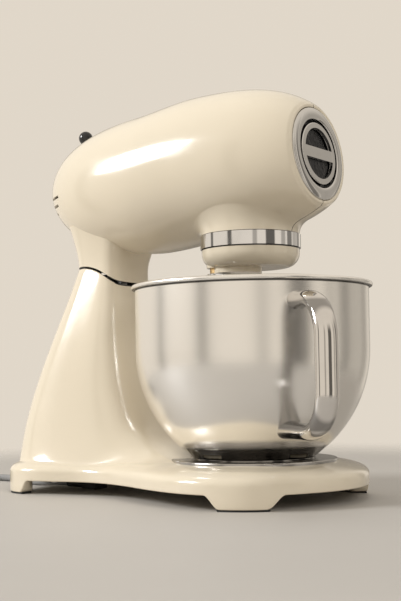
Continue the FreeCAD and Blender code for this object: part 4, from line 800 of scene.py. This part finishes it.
def cut_piece(piece, cutters):
    """Takes closed cutter shapes away from a closed piece and keeps the result as its mesh."""
    tool = bare_piece("cutter", cutters)
    merge_doubles(tool, face_out=True)
    cut = piece.modifiers.new("cut", "BOOLEAN")
    cut.object = tool
    cut.solver = "EXACT"
    bpy.context.view_layer.update()
    seen = piece.evaluated_get(bpy.context.evaluated_depsgraph_get())
    mesh = bpy.data.meshes.new_from_object(seen)
    piece.modifiers.clear()
    piece.data = mesh
    bpy.data.objects.remove(tool)


def seam_gap(place):
    """1 within a third of a millimetre of the middle plane, where the two halves meet, a dark joint, and on
    the boss just over the planetary's band, where shade is painted."""
    across = place.coordinate(1)
    seam = 1 - across.maths("ABSOLUTE", across, 0.0).between(0.0003, 0.0005)
    # Painted shade on the boss just over the band.
    low = 1 - place.coordinate(2).between(0.2411, 0.2414)
    near = 1 - place.reach((bowl_axis, 0, 0), (0, 0, 1)).between(0.0458, 0.0462)
    return seam.maths("MAXIMUM", seam, low * near)


def mark_inside(piece):
    """Puts the raw inside of a half and the walls of its slots, 0.9 mm in, on a second finish, painted near
    black as the shade inside.
    """
    mesh = piece.data
    x, y, z = face_centres(mesh)
    station = x
    for _ in range(8):
        station = x + (z - head_line(station)) * np.tan(head_lean(station))
    tall = (z - head_line(station)) / np.cos(head_lean(station))
    tail_tip, nose_tip = -236.2, 101.0
    depth = head_girth(np.clip(station, tail_tip, nose_tip)) - np.hypot(y, tall)
    behind = x < nose_x - 12
    mesh.polygons.foreach_set("material_index", ((depth > 0.9) & behind).astype(np.int32))


head_enamel = enamel("head_enamel", cream, seam_gap)
vent_rise = 1.3
vents = [box_of((-260, -half, middle - vent_rise), (-190, half, middle + vent_rise))
         for middle, half in ((293.5, 48.5), (285.6, 44.5), (278.5, 35.0))]
knob_heart = (-204.7, 0, 361.0)
knob_slope = np.radians(17.0)
knob_slot = box_of((-4.5, -3.5, -16.0), (44.5, 3.5, 30.0), knob_heart, knob_slope)
planetary_bore = turned([(0, 222.0), (boss_bore, 222.0), (boss_bore, 262.0), (0, 262.0)])
for side, hand in ((-1, "right"), (1, "left")):
    half = bare_piece("head_" + hand, [head_half(side)])
    merge_doubles(half, face_out=True)
    cut_piece(half, vents + [knob_slot, planetary_bore])
    mark_inside(half)
    add_sheet(half, boss_half(side))
    dress_piece(half, head_enamel, "head", "cream_paint", "head_shell_" + hand, crease=40.0)
    # The second finish paints the inside near black: painted shade.
    half.data.materials.append(painted_shade_casting)


# Nose: a wide chrome bezel pressed into the two halves, and the turned cap that closes the accessory socket,
# with a finger bar across its recess.

hub_way = (np.cos(nose_tilt), 0, np.sin(nose_tilt))
hub_heart = (nose_x, 0, hub_height)


def arc(start, middle, end, steps):
    """The points of a quadratic curve, as (radius, distance along the nose's axis)."""
    return quadratic(np.linspace(0, 1, steps)[:, None], np.array(start), np.array(middle), np.array(end))


socket_wall = 22.5
groove_wall = 31.0
bezel_wall = 41.75
bezel = np.vstack([[(socket_wall, -7.0), (bezel_wall, -7.0)],
                   arc((bezel_wall, -0.9), (bezel_wall, 0.0), (41.0, 0.5), 6),
                   arc((40.6, 0.7), (36.4, 2.2), (32.2, 1.5), 16),
                   arc((31.9, 1.4), (groove_wall, 1.1), (groove_wall, 0.2), 6),
                   [(groove_wall, -5.0), (socket_wall, -5.0), (socket_wall, -7.0)]])


def nose_chrome(name, inner, outer):
    """Polished plate, with painted shade and painted dark broken reflections deep in it, between an inner and
    an outer radius.
    """
    material, fill, place = new_finish(name)
    heart = (bowl_axis + nose_x * 0.001, 0, hub_height * 0.001)
    depth = place.vector("SUBTRACT", heart).vector("DOT_PRODUCT", hub_way, 1)
    reach = place.reach(heart, hub_way)
    edge = 0.0002
    within = reach.between(inner - edge, inner) * (1 - reach.between(outer, outer + edge))
    # Painted shade: the colour goes dark deep in the groove and the recess.
    deep = (1 - depth.between(-0.0022, -0.0012)) * within
    smear = place.noise(55.0, 4.0).between(0.45, 0.8)
    broken = place.noise(170.0, 2.0).between(0.56, 0.68)
    plate = smear.tint((0.66, 0.655, 0.65), (0.60, 0.59, 0.58))
    fill(Base_Color=deep.shade(plate, (0.035, 0.036, 0.04)), Metallic=1.0,
         Roughness=0.07 + smear * 0.07 + deep * broken * 0.2,
         Normal=(place.noise(240.0, 1.0) * deep).relief(0.0006))
    return material


groove_chrome = nose_chrome("nose_chrome", 0.0222, 0.0310)
shape_piece("nose_bezel", [turned(bezel, 160, hub_heart, hub_way)], groove_chrome, "head", "chrome",
            "nose_ring")
coat(nose_chrome("hub_chrome", 0.0, 0.0231), "hub_cover")


# Drive inside the head: a cast housing holds the gears on their shafts, and a small universal motor behind it
# drives them through two reductions and a bevel pair.

cast_alloy = machined("cast_alloy", (0.55, 0.55, 0.54), (0.42, 0.42, 0.41), roughness=0.45)
gear_steel = machined("gear_steel", (0.52, 0.52, 0.53), (0.34, 0.33, 0.32), (1.0, 1.0, 0.2))
core_steel = machined("core_steel", (0.36, 0.36, 0.38), (0.26, 0.24, 0.22), (8.0, 0.3, 0.3), 0.4)
winding_copper = machined("winding_copper", (0.66, 0.32, 0.15), (0.45, 0.2, 0.1), (0.3, 4.0, 4.0))
ring_steel = machined("ring_steel", (0.70, 0.70, 0.71), (0.58, 0.58, 0.58))
coat(cast_alloy, "gear_housing", "motor_end_frame")
coat(gear_steel, "ring_gear", "planet_pinion", "bevel_gear", "bevel_pinion", "output_wheel",
     "countershaft_wheel", "countershaft", "main_shaft", "planet_shaft", "motor_shaft")
coat(core_steel, "motor_stator", "motor_rotor")
coat(winding_copper, "field_coils", "commutator")
coat(ring_steel, "main_bearings", "planet_bearings", "motor_bearings")


def moulded(name, colour, roughness=0.35):
    """Moulded plastic: a fine spark-eroded grain, slightly shinier where fingers rub it."""
    material, fill, place = new_finish(name)
    grain = place.noise(1100.0, 2.0)
    rubbed = place.noise(70.0, 2.0).between(0.4, 0.7)
    worn = tuple(part * 1.3 + 0.004 for part in colour)
    fill(Base_Color=rubbed.tint(colour, worn), Roughness=roughness - rubbed * 0.08 + grain * 0.06,
         Normal=grain.relief(0.00003))
    return material


black_plastic = moulded("black_plastic", (0.018, 0.018, 0.019))
coat(black_plastic, "brush_holders", "cooling_fan", "speed_track", "speed_slider")
coat(moulded("circuit_green", (0.03, 0.11, 0.05), 0.5), "control_board")


# Speed control: a turned black ball on a stem. It slides in a slot along the top of the head and carries the
# slider on its track inside.

coat(moulded("knob_black", (0.012, 0.012, 0.013), 0.18), "speed_knob")


# Planetary: a polished steel band round the boss, and the turning cap below it with its eccentric boss,
# from which the beater spindle hangs.

coat(bright_chrome, "planetary_band")


def band_gap(place):
    """1 on the cap's upper edge, in the shade under the band."""
    return place.coordinate(2).between(0.2270, 0.2273)


coat(enamel("cap_enamel", cream, band_gap), "planetary_cap")
coat(plating("spindle_steel", (0.66, 0.66, 0.66), 0.1), "beater_spindle", "spindle_cross_pin")


# Bowl: spun from one stainless sheet and polished, with a rolled rim, a pressed foot ring that locks into the
# plate on the stand, and a cast loop handle welded to its side.

def spun_steel(name, colour, roughness):
    """Spun stainless: hairlines run round the bowl, with soft wiped patches between them and painted shade in
    the crease under the rim's bead."""
    material, fill, place = new_finish(name)
    radius = place.reach((bowl_axis, 0, 0), (0, 0, 1))
    height = place.coordinate(2)
    hair = place.add("ShaderNodeTexNoise", {"noise_dimensions": "1D"},
                     {"W": (height + radius * 0.8) * 1000.0, "Scale": 1.7, "Detail": 4.0})
    wiped = place.noise(18.0, 3.0).between(0.4, 0.75)
    dull = tuple(part * 0.9 for part in colour)
    # Painted shade in the crease under the rim's bead.
    crease = height.between(0.1898, 0.1906) * (1 - height.between(0.1914, 0.1922))
    bead_crease_shade = crease * radius.between(0.1066, 0.1070)
    fill(Base_Color=bead_crease_shade.shade(hair.tint(dull, colour), (0.12, 0.115, 0.11)), Metallic=1.0,
         Roughness=roughness + hair * 0.04 + wiped * 0.015, Normal=hair.relief(0.00001), Anisotropic=0.35)
    return material


bowl_steel = spun_steel("bowl_steel", (0.95, 0.935, 0.91), 0.22)
bowl_radius = 107.4
bowl_floor = 47.6
bowl_round = 115.0
round_top = 137.0
bowl_sheet = 1.3
bowl_inside = bowl_radius - bowl_sheet
bead_radius = 2.2
start_turn = np.arcsin((bowl_floor - round_top) / bowl_round)
swing = np.linspace(start_turn, 0, 40)[:, None]
outer_wall = np.hstack([bowl_radius * np.cos(swing), round_top + bowl_round * np.sin(swing)])
inner_round = bowl_round - bowl_sheet
inner_wall = np.hstack([bowl_inside * np.cos(swing), round_top + inner_round * np.sin(swing)])[::-1]
bead_turn = np.radians(np.linspace(-130, 180, 22))[:, None]
bead = np.hstack([108.8 + bead_radius * np.cos(bead_turn), 193.3 + bead_radius * np.sin(bead_turn)])
bowl_line = np.vstack([[(0, bowl_floor)], outer_wall, [(bowl_radius, 165.0), (bowl_radius, 190.6)], bead,
                       [(bowl_inside, 190.0), (bowl_inside, 165.0)], inner_wall, [(0, inner_wall[-1, 1])]])
shape_piece("bowl_shell", [turned(bowl_line, 200)], bowl_steel, "bowl", "bowl_steel", "mixing_bowl",
            crease=50.0)
# The foot ring's steel is painted dark: painted shade and dark reflection under the bowl.
coat(spun_steel("foot_steel", (0.30, 0.29, 0.275), 0.08), "bowl_foot_ring")


handle_swing = np.radians(-34.0)
handle_half = (10.0, 7.0)
bend_reach, bend_radius = 123.0, 34.0
upper_bend, lower_bend = 140.0, 99.0


def handle_bar():
    """An oval carried round a D: out from the bowl's side at the top, down, and back below. Both ends flare
    by a sixth into their welds and follow the bowl's round side."""
    turn = np.linspace(0, 2 * np.pi, 48, endpoint=False)
    across = handle_half[0] * np.cos(turn)[None, :]
    thick = handle_half[1] * np.sin(turn)[None, :]

    def end_run(level, up, share):
        """Reach, width and height of one end, from its weld to the bend."""
        flare = 1 + (1 - share) ** 3 / 6
        wide = across * flare * (share > 0)
        height = level + up * thick * flare * (share > 0)
        girth = bowl_radius * np.sqrt(1 - np.clip((round_top - height) / bowl_round, 0, 1) ** 2)
        side = np.sqrt(girth ** 2 - wide ** 2) - 0.5
        return side + (bend_reach - side) * np.clip(share - 0.01, 0, 1), wide, height

    share = np.concatenate([[0.0], np.linspace(0.01, 1, 12)])[:, None]
    bend = np.radians(np.linspace(90, 0, 20))[1:, None]
    back = bend - np.pi / 2
    fall = np.linspace(upper_bend, lower_bend, 14)[1:, None]
    upper = end_run(upper_bend + bend_radius, 1, share)
    lower = end_run(lower_bend - bend_radius, -1, share[::-1])
    flat = 0 * bend + across
    out = bend_radius + thick
    reach = np.vstack([upper[0], bend_reach + out * np.cos(bend), bend_reach + out + 0 * fall,
                       bend_reach + out * np.cos(back), lower[0]])
    wide = np.vstack([upper[1], flat, across + 0 * fall, flat, lower[1]])
    height = np.vstack([upper[2], upper_bend + out * np.sin(bend), fall + 0 * thick,
                        lower_bend + out * np.sin(back), lower[2]])
    points = np.stack([reach * np.cos(handle_swing) - wide * np.sin(handle_swing),
                       reach * np.sin(handle_swing) + wide * np.cos(handle_swing), height], -1)
    return sheet_of(points, wrap=True)


def handle_inside_shade(place):
    """1 on the side of the loop that faces the bowl, about the bar's middle line, where shade is painted."""
    height = place.coordinate(2)
    bar = 1 - place.reach((bowl_axis, 0, 0), (0, 0, 1)).between(0.1535, 0.1575)
    return bar * (1 - height.between(0.1710, 0.1740)) * height.between(0.0650, 0.0680)


handle = bare_piece("handle_bar", [handle_bar()])
merge_doubles(handle, face_out=True)
handle_steel = plating("handle_steel", (0.74, 0.72, 0.70), 0.06, handle_inside_shade)
dress_piece(handle, handle_steel, "bowl", "handle_steel", "bowl_handle", crease=60.0)


# Studio: a pale floor that fades into a pale warm surround, and three soft lamps. Reflections see darker
# upright bands in the surround, as in a room.

surround = (0.75, 0.68, 0.585)
floor_finish, floor_fill, floor_place = new_finish("floor_finish")
floor_cloud = floor_place.noise(3.0, 4.0)
floor_fill(Base_Color=floor_cloud.tint((0.50, 0.475, 0.44), (0.56, 0.535, 0.50)), Roughness=0.6)
floor_tree = floor_finish.node_tree
away = floor_place.vector("LENGTH", output=1)
fade_start, fade_end = 0.46, 0.85
clear = floor_place.add("ShaderNodeBsdfTransparent")
plain = Wire(floor_tree, floor_tree.nodes["Principled BSDF"].outputs[0])
faded = plain.add("ShaderNodeMixShader", None, {0: away.between(fade_start, fade_end), 1: plain, 2: clear})
faded.feed(floor_tree.nodes["Material Output"].inputs["Surface"], faded)
floor_mesh = bpy.data.meshes.new("floor")
floor_mesh.from_pydata([(-1, -1, 0), (1, -1, 0), (1, 1, 0), (-1, 1, 0)], [], [(0, 1, 2, 3)])
floor_mesh.materials.append(floor_finish)
floor = bpy.data.objects.new("floor", floor_mesh)
bpy.context.scene.collection.objects.link(floor)

world = bpy.data.worlds.new("surround")
bpy.context.scene.world = world
world.use_nodes = True
world_tree = world.node_tree
path = world_tree.nodes.new("ShaderNodeLightPath")
seen = Wire(world_tree, path.outputs["Is Camera Ray"])
shine = Wire(world_tree, path.outputs["Is Glossy Ray"])
through = Wire(world_tree, path.outputs["Is Transmission Ray"])
shown = seen.maths("MAXIMUM", seen.maths("MAXIMUM", seen, shine), through)
heading = Wire(world_tree, world_tree.nodes.new("ShaderNodeTexCoord").outputs["Generated"])
east, north, rise = [heading.coordinate(axis) for axis in range(3)]
turn = north.maths("ARCTAN2", north, east) * (180 / np.pi)
band_edge = 4.0
bands = 0.0
for middle, half, depth in ((-154.0, 2.0, 0.85), (-104.0, 3.0, 0.9), (-46.0, 3.0, 0.5), (-10.0, 9.0, 0.92),
                            (24.0, 4.0, 0.5), (44.0, 6.0, 0.8), (63.0, 7.0, 0.45), (82.0, 6.0, 0.65),
                            (124.0, 18.0, 0.75)):
    gap = turn.maths("ABSOLUTE", turn - middle, 0.0)
    bands = bands + (1 - gap.between(half, half + band_edge)) * depth
bands = bands * (1 - rise.between(0.25, 0.6))
room_light, seen_lift, shine_lift = 0.5, 0.5, 0.1
ground = world_tree.nodes["Background"]
ground.inputs["Color"].default_value = (*surround, 1)
seen.feed(ground.inputs["Strength"], room_light + shown * seen_lift + shine * (shine_lift - bands))

lamps_aim = np.array((0.0, 0.0, 0.18))
for name, spot, size, power in (("key", (-1.6, -1.5, 1.25), 0.7, 43.0), ("fill", (1.9, -0.9, 1.2), 1.2, 13.0),
                                ("top", (-0.1, 0.3, 2.1), 1.2, 9.0)):
    lamp_data = bpy.data.lights.new(name, "AREA")
    lamp_data.size = size
    lamp_data.energy = power
    lamp = bpy.data.objects.new(name, lamp_data)
    way = Vector(lamps_aim - np.array(spot))
    lamp.matrix_world = Matrix.Translation(spot) @ way.to_track_quat("-Z", "Y").to_matrix().to_4x4()
    lamp.visible_glossy = name == "key"
    bpy.context.scene.collection.objects.link(lamp)


# Camera: the photograph's own place and lens, from a view fitted to the ellipses and edges in it. The middle
# of the view isn't quite the middle of the picture, so the lens is shifted.

picture_wide, picture_high = 401, 601
focus = 1105.194
middle_across, middle_down = 201.083, 332.716
film = 36.0
camera_data = bpy.data.cameras.new("camera")
camera_data.sensor_width = film
camera_data.lens = focus * film / picture_high
camera_data.shift_x = (picture_wide / 2 - middle_across) / picture_high
camera_data.shift_y = (middle_down - picture_high / 2) / picture_high
camera_data.clip_start = 0.05
camera = bpy.data.objects.new("camera", camera_data)
ahead = np.array([-0.59913, 0.79960, 0.04100])
level = np.array([0.80027, 0.59964, 0.0])
upright = np.cross(level, ahead)
roll = np.radians(0.864)
right = level * np.cos(roll) - upright * np.sin(roll)
upright = level * np.sin(roll) + upright * np.cos(roll)
eye = np.array([0.5729 + bowl_axis, -0.8429, 0.1102])
camera.matrix_world = Matrix(np.vstack([np.column_stack([right, upright, -ahead, eye]), [0, 0, 0, 1]]))
bpy.context.scene.collection.objects.link(camera)
bpy.context.scene.camera = camera

bpy.context.scene.view_settings.view_transform = "Standard"
